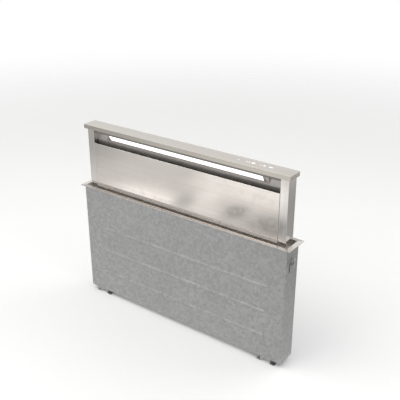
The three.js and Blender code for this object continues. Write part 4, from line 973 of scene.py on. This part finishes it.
def filter_mesh(side):
    """Expanded aluminium mesh across a filter's face: staggered diamonds of twisted strands."""
    low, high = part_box(f"grease_filter_{side}")
    margin = FILTER_FRAME - 0.001
    x0, x1 = low.x + margin, high.x - margin
    z0, z1 = low.z + margin, high.z - margin
    columns_across = round((x1 - x0) / details().mesh_pitch)
    rows_up = round((z1 - z0) / (0.5 * details().mesh_pitch))
    step_x, step_z = (x1 - x0) / columns_across, (z1 - z0) / rows_up
    half = details().strand_width / 2
    bm = bmesh.new()
    for front in (-1, 1):
        face = (low.y + high.y) / 2 + front * MESH_OUT
        knots = {}
        for row in range(rows_up + 1):
            for column in range(columns_across + 1):
                across = x0 + step_x * (column + 0.5 * (row % 2))
                wave = front * 0.0005 * (1 if row % 2 else -1)
                if across <= x1 + 1e-6:
                    knots[row, column] = Vector((across, face + wave, z0 + step_z * row))
        for (row, column), start in knots.items():
            for aside in ((0, 1) if row % 2 else (-1, 0)):
                end = knots.get((row + 1, column + aside))
                if end is not None:
                    strand(bm, start, end, half, front)
    built_piece(f"filter_mesh_{side}", bm, "filter_aluminium", "tower")


def strand(bm, start, end, half, front):
    """One ridged strand of the mesh between two knots, with its ridge to the front or the back."""
    along = (end - start).normalized()
    across = Vector((-along.z, 0.0, along.x)) * half
    depth = Vector((0.0, front * half, 0.0))
    ring = [[bm.verts.new(knot + offset) for offset in (across, depth, -across)]
            for knot in (start, end)]
    for k in range(2):
        strip = bm.faces.new((ring[0][k], ring[0][k + 1], ring[1][k + 1], ring[1][k]))
        strip.normal_update()
        if strip.normal.y * front < 0:
            strip.normal_flip()


def filters():
    """Both grease filters with their mesh, and a wire bail on each to lift it by."""
    for side in SIDES:
        dressed(f"grease_filter_{side}", "filter_aluminium", edge=0.0006)
        filter_mesh(side)
        low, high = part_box(f"grease_filter_{side}")
        bail(f"filter_bail_{side}", Vector(((low.x + high.x) / 2, low.y, high.z - 0.005)))


def bail(name, place):
    """A folded wire grip lying on a filter's frame."""
    curve = bpy.data.curves.new(name, "CURVE")
    curve.dimensions = "3D"
    curve.bevel_depth = 0.0009
    curve.bevel_resolution = 3
    half, drop = 0.022, 0.019
    path = ((-half, 0.0, 0.0), (-half, -0.0007, -0.4 * drop), (-half * 0.9, -0.0012, -drop),
            (half * 0.9, -0.0012, -drop), (half, -0.0007, -0.4 * drop), (half, 0.0, 0.0))
    spline = curve.splines.new("POLY")
    spline.points.add(len(path) - 1)
    lying = place - Vector((0, curve.bevel_depth, 0))
    for point, bend in zip(spline.points, path):
        point.co = (*(lying + Vector(bend)), 1.0)
    curve.materials.append(finish("zinc_plated"))
    piece = bpy.data.objects.new(name, curve)
    bpy.context.scene.collection.objects.link(piece)
    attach(piece, "tower")


def tray_and_foot():
    """The grease tray, the rail under it and the lift nuts and guide shoes below the columns."""
    dressed("grease_tray", "steel_panel", edge=0.0004, grain=ALONG_X)
    dressed("lower_rail", "galvanised_sheet")
    for side in SIDES:
        dressed(f"lift_nut_{side}", "white_acetal", edge=0.0005, angle=50)
        dressed(f"guide_shoe_{side}", "white_acetal", edge=details().block_edge)


# ---------------------------------------------------------------- pieces of the housing


def flange():
    """The worktop flange and the wiper seal in its collar."""
    dressed("worktop_flange", "flange_steel", edge=0.0007, segments=3, pierced=True)
    dressed("wiper_seal", "seal_rubber", edge=0.0008, segments=3)


def clamps():
    """The worktop clamps, their screws and the rivets that hold them to the housing's ends."""
    for side, outward in zip(SIDES, (LEFT, RIGHT)):
        dressed(f"worktop_clamp_{side}", "galvanised_sheet")
        dressed(f"clamp_screw_{side}", "zinc_plated", edge=0.0003)
        low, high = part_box(f"worktop_clamp_{side}")
        upright = outward[0] * (min(abs(low.x), abs(high.x)) + CLAMP_SHEET)
        places = [(upright, y, low.z + 0.01) for y in (-0.009, 0.009)]
        heads(f"clamp_rivets_{side}", places, outward, 0.7 * details().rivet_radius, RIVET,
              "zinc_plated")


def housing():
    """The housing's sheets with rivets along their seams, and its feet."""
    for part in ("housing_shell", "housing_back", "housing_bottom"):
        dressed(part, "galvanised_sheet")
    low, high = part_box("housing_shell")
    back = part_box("housing_back")[1].y
    edge = high.x - 0.008
    upper, lower = high.z - 0.011, low.z + 0.006
    spacing, radius = details().rivet_spacing, 0.8 * details().rivet_radius
    seam = [(x, back, z) for x in (-edge, edge)
            for z in evenly(high.z - 0.03, low.z + 0.02, spacing)]
    foot_row = [(x, back, lower) for x in evenly(-edge, edge, spacing)]
    collar = [(x, back, upper) for x in evenly(-edge, edge, 1.5 * spacing)]
    heads("back_seam_rivets", seam + foot_row + collar, BACK, radius, RIVET, "zinc_plated")
    front = [(x, low.y, z) for z in (upper, lower) for x in evenly(-edge, edge, 1.5 * spacing)]
    heads("front_rivets", front, FRONT, radius, RIVET, "zinc_plated")
    for side, x, outward in zip(SIDES, (low.x, high.x), (LEFT, RIGHT)):
        places = [(x, y, z) for y in (-0.022, 0.022) for z in (lower, low.z + 0.11)]
        heads(f"end_rivets_{side}", places, outward, radius, RIVET, "zinc_plated")
        dressed(f"foot_{side}", "galvanised_sheet", edge=0.0008)
    pressed_beads()


def pressed_beads():
    """Long beads pressed outward across the housing's front, which stiffen the sheet."""
    low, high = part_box("housing_shell")
    half, sunk = high.x - 0.07, 0.0002
    across, to_round = 12, 6  # faces over a bead's width, and steps round each of its ends
    end = BEAD_WIDTH / 2
    stations = [-half + end * (1 - cos(pi / 2 * i / to_round)) for i in range(to_round + 1)]
    stations += [-x for x in reversed(stations)]
    bm = bmesh.new()
    for share in BEAD_HEIGHTS:
        z = low.z + share * (high.z - low.z)
        rows = []
        for x in stations:
            reach = min(1.0, (half - abs(x)) / end)
            width = max(1e-5, end * (1 - (1 - reach) ** 2) ** 0.5)
            half_rise = BEAD_RISE * width / BEAD_WIDTH
            rows.append([bm.verts.new((x, low.y + sunk - half_rise * (1 - cos(2 * pi * k / across)),
                                       z + width * (2 * k / across - 1)))
                         for k in range(across + 1)])
        for near, far in zip(rows, rows[1:]):
            for k in range(across):
                bm.faces.new((near[k], far[k], far[k + 1], near[k + 1]))
    bmesh.ops.remove_doubles(bm, verts=bm.verts, dist=1e-5)
    bmesh.ops.recalc_face_normals(bm, faces=bm.faces)
    built_piece("housing_beads", bm, "galvanised_sheet", "housing")


def guides_and_drive():
    """Guide rails, screws, pulleys, belt, gears, bearings, carrier, motor and limit switches."""
    for side in SIDES:
        dressed(f"guide_rail_{side}", "machined_steel")
        painted(f"lead_screw_{side}", "machined_steel")
        dressed(f"screw_pulley_{side}", "pulley_aluminium", edge=0.0003, angle=50)
        dressed(f"screw_bearing_{side}", "black_plastic", edge=details().block_edge, angle=50)
    toothed_belt()
    dressed("drive_gear", "white_acetal", edge=0.0002, segments=1, angle=60)
    painted("motor_pinion", "pinion_brass")
    dressed("drive_carrier", "galvanised_sheet")
    dressed("lift_motor", "black_painted_steel", edge=0.0006, angle=50)
    for name in ("limit_switch_raised", "limit_switch_lowered"):
        dressed(name, "black_plastic", edge=0.0004)


def toothed_belt():
    """The belt round both pulleys, with its teeth on the inside of both straight runs."""
    dressed("timing_belt", "black_rubber", edge=0.0002, segments=1)
    low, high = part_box("timing_belt")
    pulley_low, pulley_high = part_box("screw_pulley_right")
    stop = (pulley_low.x + pulley_high.x) / 2 - 0.014
    half, pitch, sunk, depth, inset = 0.0011, 0.005, 0.0002, 0.0007, 0.0003
    bm = bmesh.new()
    for x in evenly(-stop, stop, pitch):
        for inward, face in ((1, low.y + BELT_SHEET), (-1, high.y - BELT_SHEET)):
            near, far = sorted((face - inward * sunk, face + inward * depth))
            slab(bm, (x - half, near, low.z + inset), (x + half, far, high.z - inset))
    built_piece("belt_teeth", bm, "black_rubber", "housing", smooth=False)


def blower():
    """The scroll's sheets and screws, the impeller, and the ribbed motor with its bearing cap."""
    for name in ("blower_front_plate", "blower_wrap", "blower_back_plate"):
        dressed(name, "galvanised_sheet", angle=40)
    dressed("impeller", "black_plastic", edge=0.0004, segments=1, angle=50)
    dressed("blower_motor", "black_painted_steel", edge=0.0012, segments=3, angle=30)
    low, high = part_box("blower_motor")
    centre = Vector(((low.x + high.x) / 2, low.y, (low.z + high.z) / 2))
    flange_radius = (high.x - low.x) / 2
    can = flange_radius - 0.01
    bolts = [centre + Vector((cos(a), 0, sin(a))) * (flange_radius - 0.005) + Vector((0, 0.003, 0))
             for a in (pi / 4 + k * pi / 2 for k in range(4))]
    heads("motor_screws", bolts, BACK, details().screw_radius, SCREW, "zinc_plated")
    fins, half = details().motor_fins, 0.0011
    bm = bmesh.new()
    for k in range(fins):
        turn = Matrix.Translation(centre) @ Matrix.Rotation(2 * pi * k / fins, 4, "Y")
        slab(bm, (can - 0.001, 0.0065, -half), (can + 0.0042, high.y - low.y - 0.0075, half), turn)
    round_edges(built_piece("motor_ribs", bm, "black_painted_steel", "housing"), 0.0005)
    scroll_screws(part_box("blower_back_plate")[1].y, centre)
    bearing = Vector((centre.x, high.y - 0.003, centre.z))
    profile = ((0.0, 0.0012), (0.0052, 0.0012), (0.006, 0.0026), (0.011, 0.0026), (0.0135, 0.0016),
               (0.0135, -0.0004), (0.0, -0.0004))
    bm = bmesh.new()
    lathe(bm, profile, facing_matrix(bearing, BACK), 28)
    built_piece("motor_bearing_cap", bm, "zinc_plated", "housing")


def scroll_screws(face, centre):
    """Screws through the flange of the scroll's back plate, following its spiral edge."""
    rim_from, inset, spacing = 0.09, 0.005, 0.055
    plate = frame["nodes"]["blower_back_plate"].data
    rim = sorted({(round(v.co.x, 5), round(v.co.z, 5)) for v in plate.vertices
                  if hypot(v.co.x - centre.x, v.co.z - centre.z) > rim_from},
                 key=lambda p: atan2(p[1] - centre.z, p[0] - centre.x))
    places = []
    for x, z in rim:
        inward = Vector((centre.x - x, 0.0, centre.z - z)).normalized() * inset
        place = Vector((x, face, z)) + inward
        if all((place - other).length > spacing for other in places):
            places.append(place)
    heads("scroll_screws", places, BACK, 0.72 * details().screw_radius, SCREW, "zinc_plated")


def outlet():
    """The outlet transition with a rolled bead and screws, and its two flaps."""
    dressed("outlet_transition", "galvanised_sheet", angle=40)
    for side in ("front", "back"):
        dressed(f"damper_flap_{side}", "grey_plastic", edge=0.0004, angle=50, pierced=True)
    low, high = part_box("outlet_transition")
    flap_low, flap_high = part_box("damper_flap_front")
    duct_y = (flap_low.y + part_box("damper_flap_back")[1].y) / 2
    at = Vector((low.x + 0.009, duct_y, (flap_low.z + flap_high.z) / 2))
    bead = ((-0.0004, -0.0035), (0.0009, -0.0025), (0.0016, 0.0), (0.0009, 0.0025),
            (-0.0004, 0.0035))
    bm = bmesh.new()
    lathe(bm, [(DUCT_RADIUS + r, h) for r, h in bead], facing_matrix(at, LEFT), 64)
    built_piece("spigot_bead", bm, "galvanised_sheet", "housing")
    mouth_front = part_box("blower_front_plate")[0].y + 0.012
    mouth_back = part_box("blower_back_plate")[1].y - 0.012
    places = [(high.x - FLANGE_SHEET, y, z) for y in evenly(mouth_front, mouth_back, 0.03)
              for z in (low.z + 0.005, high.z - 0.005)]
    heads("outlet_screws", places, LEFT, 0.7 * details().screw_radius, SCREW, "zinc_plated")


def control_box():
    """The control box with its cover's screws and louvres, its board and its gland."""
    dressed("control_box", "galvanised_sheet", angle=40)
    dressed("control_cover", "galvanised_sheet", edge=0.0009, segments=3, angle=40)
    painted("control_board", "circuit_board")
    dressed("cable_gland", "black_plastic", edge=0.0005, angle=50)
    low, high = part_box("control_cover")
    inset = 0.009
    places = [(x, high.y, z) for x in (low.x + inset, high.x - inset)
              for z in (low.z + inset, high.z - inset)]
    heads("cover_screws", places, BACK, details().screw_radius, SCREW, "zinc_plated")
    bm = bmesh.new()
    for k in range(LOUVRE_COUNT):
        louvre(bm, Vector(((low.x + high.x) / 2, high.y, low.z + 0.052 + 0.009 * k)), 0.026)
    built_piece("cover_louvres", bm, "galvanised_sheet", "housing")
    gland_ribs()


def louvre(bm, place, half_length):
    """A pressed vent in the cover: a quarter-round hood with its mouth along the lower edge."""
    steps, height, rise, sunk, narrowing = 8, 0.0052, 0.0022, -0.0002, 0.004
    rings = []
    for i in range(steps + 1):
        share = i / steps
        half = half_length - narrowing * share
        out, up = 0.0001 + rise * cos(pi / 2 * share), height * (share - 0.5)
        rings.append([bm.verts.new(place + Vector((x, y, up)))
                      for x, y in ((half, sunk), (half, out), (-half, out), (-half, sunk))])
    for lower, upper in zip(rings, rings[1:]):
        for k in range(4):
            bm.faces.new((lower[k - 1], lower[k], upper[k], upper[k - 1]))
    bm.faces.new(rings[0][::-1])
    bm.faces.new(rings[-1])


def gland_ribs():
    """Grip ribs round the gland's dome nut."""
    low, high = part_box("cable_gland")
    centre = Vector(((low.x + high.x) / 2, (low.y + high.y) / 2, 0.0))
    radius = (high.x - low.x) / 2
    bm = bmesh.new()
    for k in range(GLAND_RIBS):
        turn = Matrix.Translation(centre) @ Matrix.Rotation(2 * pi * k / GLAND_RIBS, 4, "Z")
        slab(bm, (radius - 0.0008, -0.0006, low.z + 0.0095),
             (radius + 0.0003, 0.0006, low.z + 0.0132), turn)
    built_piece("gland_ribs", bm, "black_plastic", "housing")


# ---------------------------------------------------------------- studio


def background_ray(tree):
    """1 for the rays that should see the plain background: camera, glossy and transmission."""
    path = node(tree, "LightPath").outputs
    seen = maths(tree, "MAXIMUM", path["Is Camera Ray"], path["Is Glossy Ray"])
    return maths(tree, "MAXIMUM", seen, path["Is Transmission Ray"])


def sky():
    """White for the background, and a softer even light on dull surfaces."""
    studio = bpy.context.scene.vent_studio
    world = bpy.data.worlds.new("studio_sky")
    bpy.context.scene.world = world
    world.use_nodes = True
    tree = world.node_tree
    light = tree.nodes["Background"]
    light.inputs["Color"].default_value = (*WHITE, 1.0)
    height = split(tree, node(tree, "TexCoord").outputs["Generated"])[2]
    missing = ramp(tree, height, *HORIZON_BAND, 1.0 - MIRRORED_HORIZON, 0.0)
    reflected = node(tree, "LightPath").outputs["Is Glossy Ray"]
    background = maths(tree, "SUBTRACT", 1.0, times(tree, reflected, missing))
    strength = node(tree, "MapRange", {"Value": background_ray(tree), "To Min": studio.sky_level,
                                       "To Max": background}).outputs[0]
    tree.links.new(strength, light.inputs["Strength"])


def mirrored_level(tree, place):
    """How bright the floor looks in polished sheet, as a painted reflection that only glossy rays
    see: greyer far out on both sides, with soft pale and dark painted cards in front of the vent."""
    x_place = split(tree, place)[0]
    level = maths(tree, "ADD", ramp(tree, x_place, *FAR_LEFT, MIRRORED_FLOOR),
                  ramp(tree, x_place, FAR_RIGHT[0], FAR_RIGHT[1], 0.0, FAR_RIGHT[2]))
    for x, y, half_x, half_y, change in PAINTED_REFLECTION_CARDS:
        offset = node(tree, "VectorMath", {0: place, 1: (x, y, CAD_BOUNDS[0][2])},
                      operation="SUBTRACT").outputs[0]
        away = node(tree, "VectorMath", {0: scaled(tree, offset, (1 / half_x, 1 / half_y, 0.0))},
                    operation="LENGTH").outputs["Value"]
        level = maths(tree, "ADD", level, ramp(tree, away, *PAINTED_CARD_EDGE, 0.0, change))
    return level


def floor():
    """A round pale floor under the feet that keeps the shadow and fades out at its rim."""
    radius = bpy.context.scene.vent_studio.floor_radius
    level = CAD_BOUNDS[0][2]
    bm = bmesh.new()
    lathe(bm, ((radius, level), (0.5 * radius, level), (0.0, level)), Matrix.Identity(4), 96)
    bmesh.ops.recalc_face_normals(bm, faces=bm.faces)
    mesh = mesh_from("studio_floor", bm)
    piece = bpy.data.objects.new("studio_floor", mesh)
    bpy.context.scene.collection.objects.link(piece)
    box = Paintbox("pale_floor")
    tree = box.tree
    grit = noise(tree, box.place, 180.0, 3.0)
    box.set(Base_Color=mixed(tree, grit, (0.9, 0.9, 0.895), (0.94, 0.94, 0.935)), Roughness=0.85)
    # Seen only by glossy rays: the floor's painted reflection, greyer to the sides with painted
    # cards
    glow = node(tree, "Emission", {"Color": (1.0, 0.985, 0.965, 1.0),
                                   "Strength": mirrored_level(tree, box.place)}).outputs[0]
    clear = node(tree, "BsdfTransparent").outputs[0]
    distance = node(tree, "VectorMath", {0: box.place}, operation="LENGTH").outputs["Value"]
    rim = ramp(tree, distance, *(share * radius for share in FLOOR_FADE))
    reflected = node(tree, "LightPath").outputs["Is Glossy Ray"]
    lit = node(tree, "MixShader", {0: reflected, 1: box.shader.outputs[0], 2: glow}).outputs[0]
    faded = node(tree, "MixShader", {0: rim, 1: lit, 2: clear}).outputs[0]
    tree.links.new(faded, tree.nodes["Material Output"].inputs["Surface"])
    mesh.materials.append(box.material)
    piece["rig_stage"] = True


def lamp(name, place, size, watts, tint=WHITE):
    """A soft rectangular lamp that looks at the frame's origin."""
    light = bpy.data.lights.new(name, "AREA")
    light.shape = "RECTANGLE"
    light.size, light.size_y = size
    light.energy = watts
    light.color = tint
    made = bpy.data.objects.new(name, light)
    bpy.context.scene.collection.objects.link(made)
    made.location = place
    made.rotation_euler = (-Vector(place)).to_track_quat("-Z", "Y").to_euler()


def lamps():
    """A large soft key in front on the left, a fill at the right and a soft light behind."""
    studio = bpy.context.scene.vent_studio
    lamp("key_lamp", (-1.3, -1.7, 3.0), (3.4, 2.8), studio.key_watts, (1.0, 0.99, 0.975))
    lamp("fill_lamp", (2.4, -0.5, 2.2), (1.4, 1.8), studio.fill_watts, (0.97, 0.985, 1.0))
    lamp("back_lamp", (1.3, 1.8, 2.8), (2.4, 1.2), 1.4 * studio.fill_watts)


def camera():
    """The camera at the photograph's place and angle."""
    view = bpy.data.cameras.new("photo_camera")
    view.lens = bpy.context.scene.vent_studio.lens
    view.sensor_width = SENSOR
    view.clip_start = 0.05
    made = bpy.data.objects.new("photo_camera", view)
    bpy.context.scene.collection.objects.link(made)
    made.location = CAMERA_PLACE
    made.rotation_euler = (pi / 2 + radians(CAMERA_PITCH), 0.0, radians(CAMERA_YAW))
    bpy.context.scene.camera = made


# ---------------------------------------------------------------- operators


class VENT_OT_cap(bpy.types.Operator):
    """Dress the cap, its touch marks, the top rail and the touch board"""

    bl_idname = "vent.cap"
    bl_label = "Cap and Touch Keys"
    bl_options = {"REGISTER", "UNDO"}

    def execute(self, context):
        cap_and_rail()
        return {"FINISHED"}


class VENT_OT_columns(bpy.types.Operator):
    """Dress the tower's two columns"""

    bl_idname = "vent.columns"
    bl_label = "Columns"
    bl_options = {"REGISTER", "UNDO"}

    def execute(self, context):
        columns()
        return {"FINISHED"}


class VENT_OT_panels(bpy.types.Operator):
    """Dress the front and back panels"""

    bl_idname = "vent.panels"
    bl_label = "Panels"
    bl_options = {"REGISTER", "UNDO"}

    def execute(self, context):
        panels()
        return {"FINISHED"}


class VENT_OT_light_bar(bpy.types.Operator):
    """Dress the light bar, its diffuser and its lamps"""

    bl_idname = "vent.light_bar"
    bl_label = "Light Bar"
    bl_options = {"REGISTER", "UNDO"}

    def execute(self, context):
        light_bar()
        return {"FINISHED"}


class VENT_OT_filters(bpy.types.Operator):
    """Dress the grease filters and weave their mesh"""

    bl_idname = "vent.filters"
    bl_label = "Grease Filters"
    bl_options = {"REGISTER", "UNDO"}

    def execute(self, context):
        filters()
        return {"FINISHED"}


class VENT_OT_tower_foot(bpy.types.Operator):
    """Dress the grease tray, the lower rail, the nuts and the guide shoes"""

    bl_idname = "vent.tower_foot"
    bl_label = "Tower Foot"
    bl_options = {"REGISTER", "UNDO"}

    def execute(self, context):
        tray_and_foot()
        return {"FINISHED"}


class VENT_OT_flange(bpy.types.Operator):
    """Dress the worktop flange, the wiper seal and the clamps"""

    bl_idname = "vent.flange"
    bl_label = "Flange and Clamps"
    bl_options = {"REGISTER", "UNDO"}

    def execute(self, context):
        flange()
        clamps()
        return {"FINISHED"}


class VENT_OT_housing(bpy.types.Operator):
    """Dress the housing's sheets and feet and set their rivets"""

    bl_idname = "vent.housing"
    bl_label = "Housing"
    bl_options = {"REGISTER", "UNDO"}

    def execute(self, context):
        housing()
        return {"FINISHED"}


class VENT_OT_drive(bpy.types.Operator):
    """Dress the guides, the lift drive and the limit switches"""

    bl_idname = "vent.drive"
    bl_label = "Guides and Lift Drive"
    bl_options = {"REGISTER", "UNDO"}

    def execute(self, context):
        guides_and_drive()
        return {"FINISHED"}


class VENT_OT_blower(bpy.types.Operator):
    """Dress the blower's scroll, impeller and motor"""

    bl_idname = "vent.blower"
    bl_label = "Blower"
    bl_options = {"REGISTER", "UNDO"}

    def execute(self, context):
        blower()
        return {"FINISHED"}


class VENT_OT_outlet(bpy.types.Operator):
    """Dress the outlet and its non-return flaps"""

    bl_idname = "vent.outlet"
    bl_label = "Outlet"
    bl_options = {"REGISTER", "UNDO"}

    def execute(self, context):
        outlet()
        return {"FINISHED"}


class VENT_OT_control_box(bpy.types.Operator):
    """Dress the control box, its cover, board and gland"""

    bl_idname = "vent.control_box"
    bl_label = "Control Box"
    bl_options = {"REGISTER", "UNDO"}

    def execute(self, context):
        control_box()
        return {"FINISHED"}


class VENT_OT_studio(bpy.types.Operator):
    """Set up the floor, the sky, the lamps and the camera"""

    bl_idname = "vent.studio"
    bl_label = "Studio and Camera"
    bl_options = {"REGISTER", "UNDO"}

    def execute(self, context):
        camera()
        sky()
        floor()
        lamps()
        return {"FINISHED"}


class VENT_PT_panel(bpy.types.Panel):
    """Lists the vent's settings and its pieces"""

    bl_label = "Downdraft Vent"
    bl_idname = "VENT_PT_panel"
    bl_space_type = "VIEW_3D"
    bl_region_type = "UI"
    bl_category = "Vent"

    def draw(self, context):
        layout = self.layout
        for settings in (context.scene.vent_finishes, context.scene.vent_details,
                         context.scene.vent_studio):
            block = layout.box()
            for name in settings.__annotations__:
                block.prop(settings, name)
        for operator in OPERATORS:
            layout.operator(operator.bl_idname)


SETTINGS = {"vent_finishes": VentFinishes, "vent_details": VentDetails, "vent_studio": VentStudio}
OPERATORS = (VENT_OT_studio, VENT_OT_cap, VENT_OT_columns, VENT_OT_panels, VENT_OT_light_bar,
             VENT_OT_filters, VENT_OT_tower_foot, VENT_OT_flange, VENT_OT_housing, VENT_OT_drive,
             VENT_OT_blower, VENT_OT_outlet, VENT_OT_control_box)


def register():
    """Registers the settings, the operators and the panel."""
    for kind in (*SETTINGS.values(), *OPERATORS, VENT_PT_panel):
        bpy.utils.register_class(kind)
    for name, kind in SETTINGS.items():
        setattr(bpy.types.Scene, name, PointerProperty(type=kind))


def unregister():
    """Takes them all out again."""
    for name in SETTINGS:
        delattr(bpy.types.Scene, name)
    for kind in reversed((*SETTINGS.values(), *OPERATORS, VENT_PT_panel)):
        bpy.utils.unregister_class(kind)


def plain(bounds):
    """Bounds as nested lists of plain numbers."""
    return [plain(b) if hasattr(b, "__len__") else float(b) for b in bounds]


def main():
    """Builds the whole scene over the frame."""
    register()
    bpy.context.scene.view_settings.view_transform = "Standard"
    make_materials()
    bpy.ops.vent.studio()
    bpy.ops.vent.cap()
    bpy.ops.vent.columns()
    bpy.ops.vent.panels()
    bpy.ops.vent.light_bar()
    bpy.ops.vent.filters()
    bpy.ops.vent.tower_foot()
    bpy.ops.vent.flange()
    bpy.ops.vent.housing()
    bpy.ops.vent.drive()
    bpy.ops.vent.blower()
    bpy.ops.vent.outlet()
    bpy.ops.vent.control_box()
    sizes = {"cad": plain(CAD_BOUNDS), "visual": plain(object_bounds())}


if __name__ == "__main__":
    main()
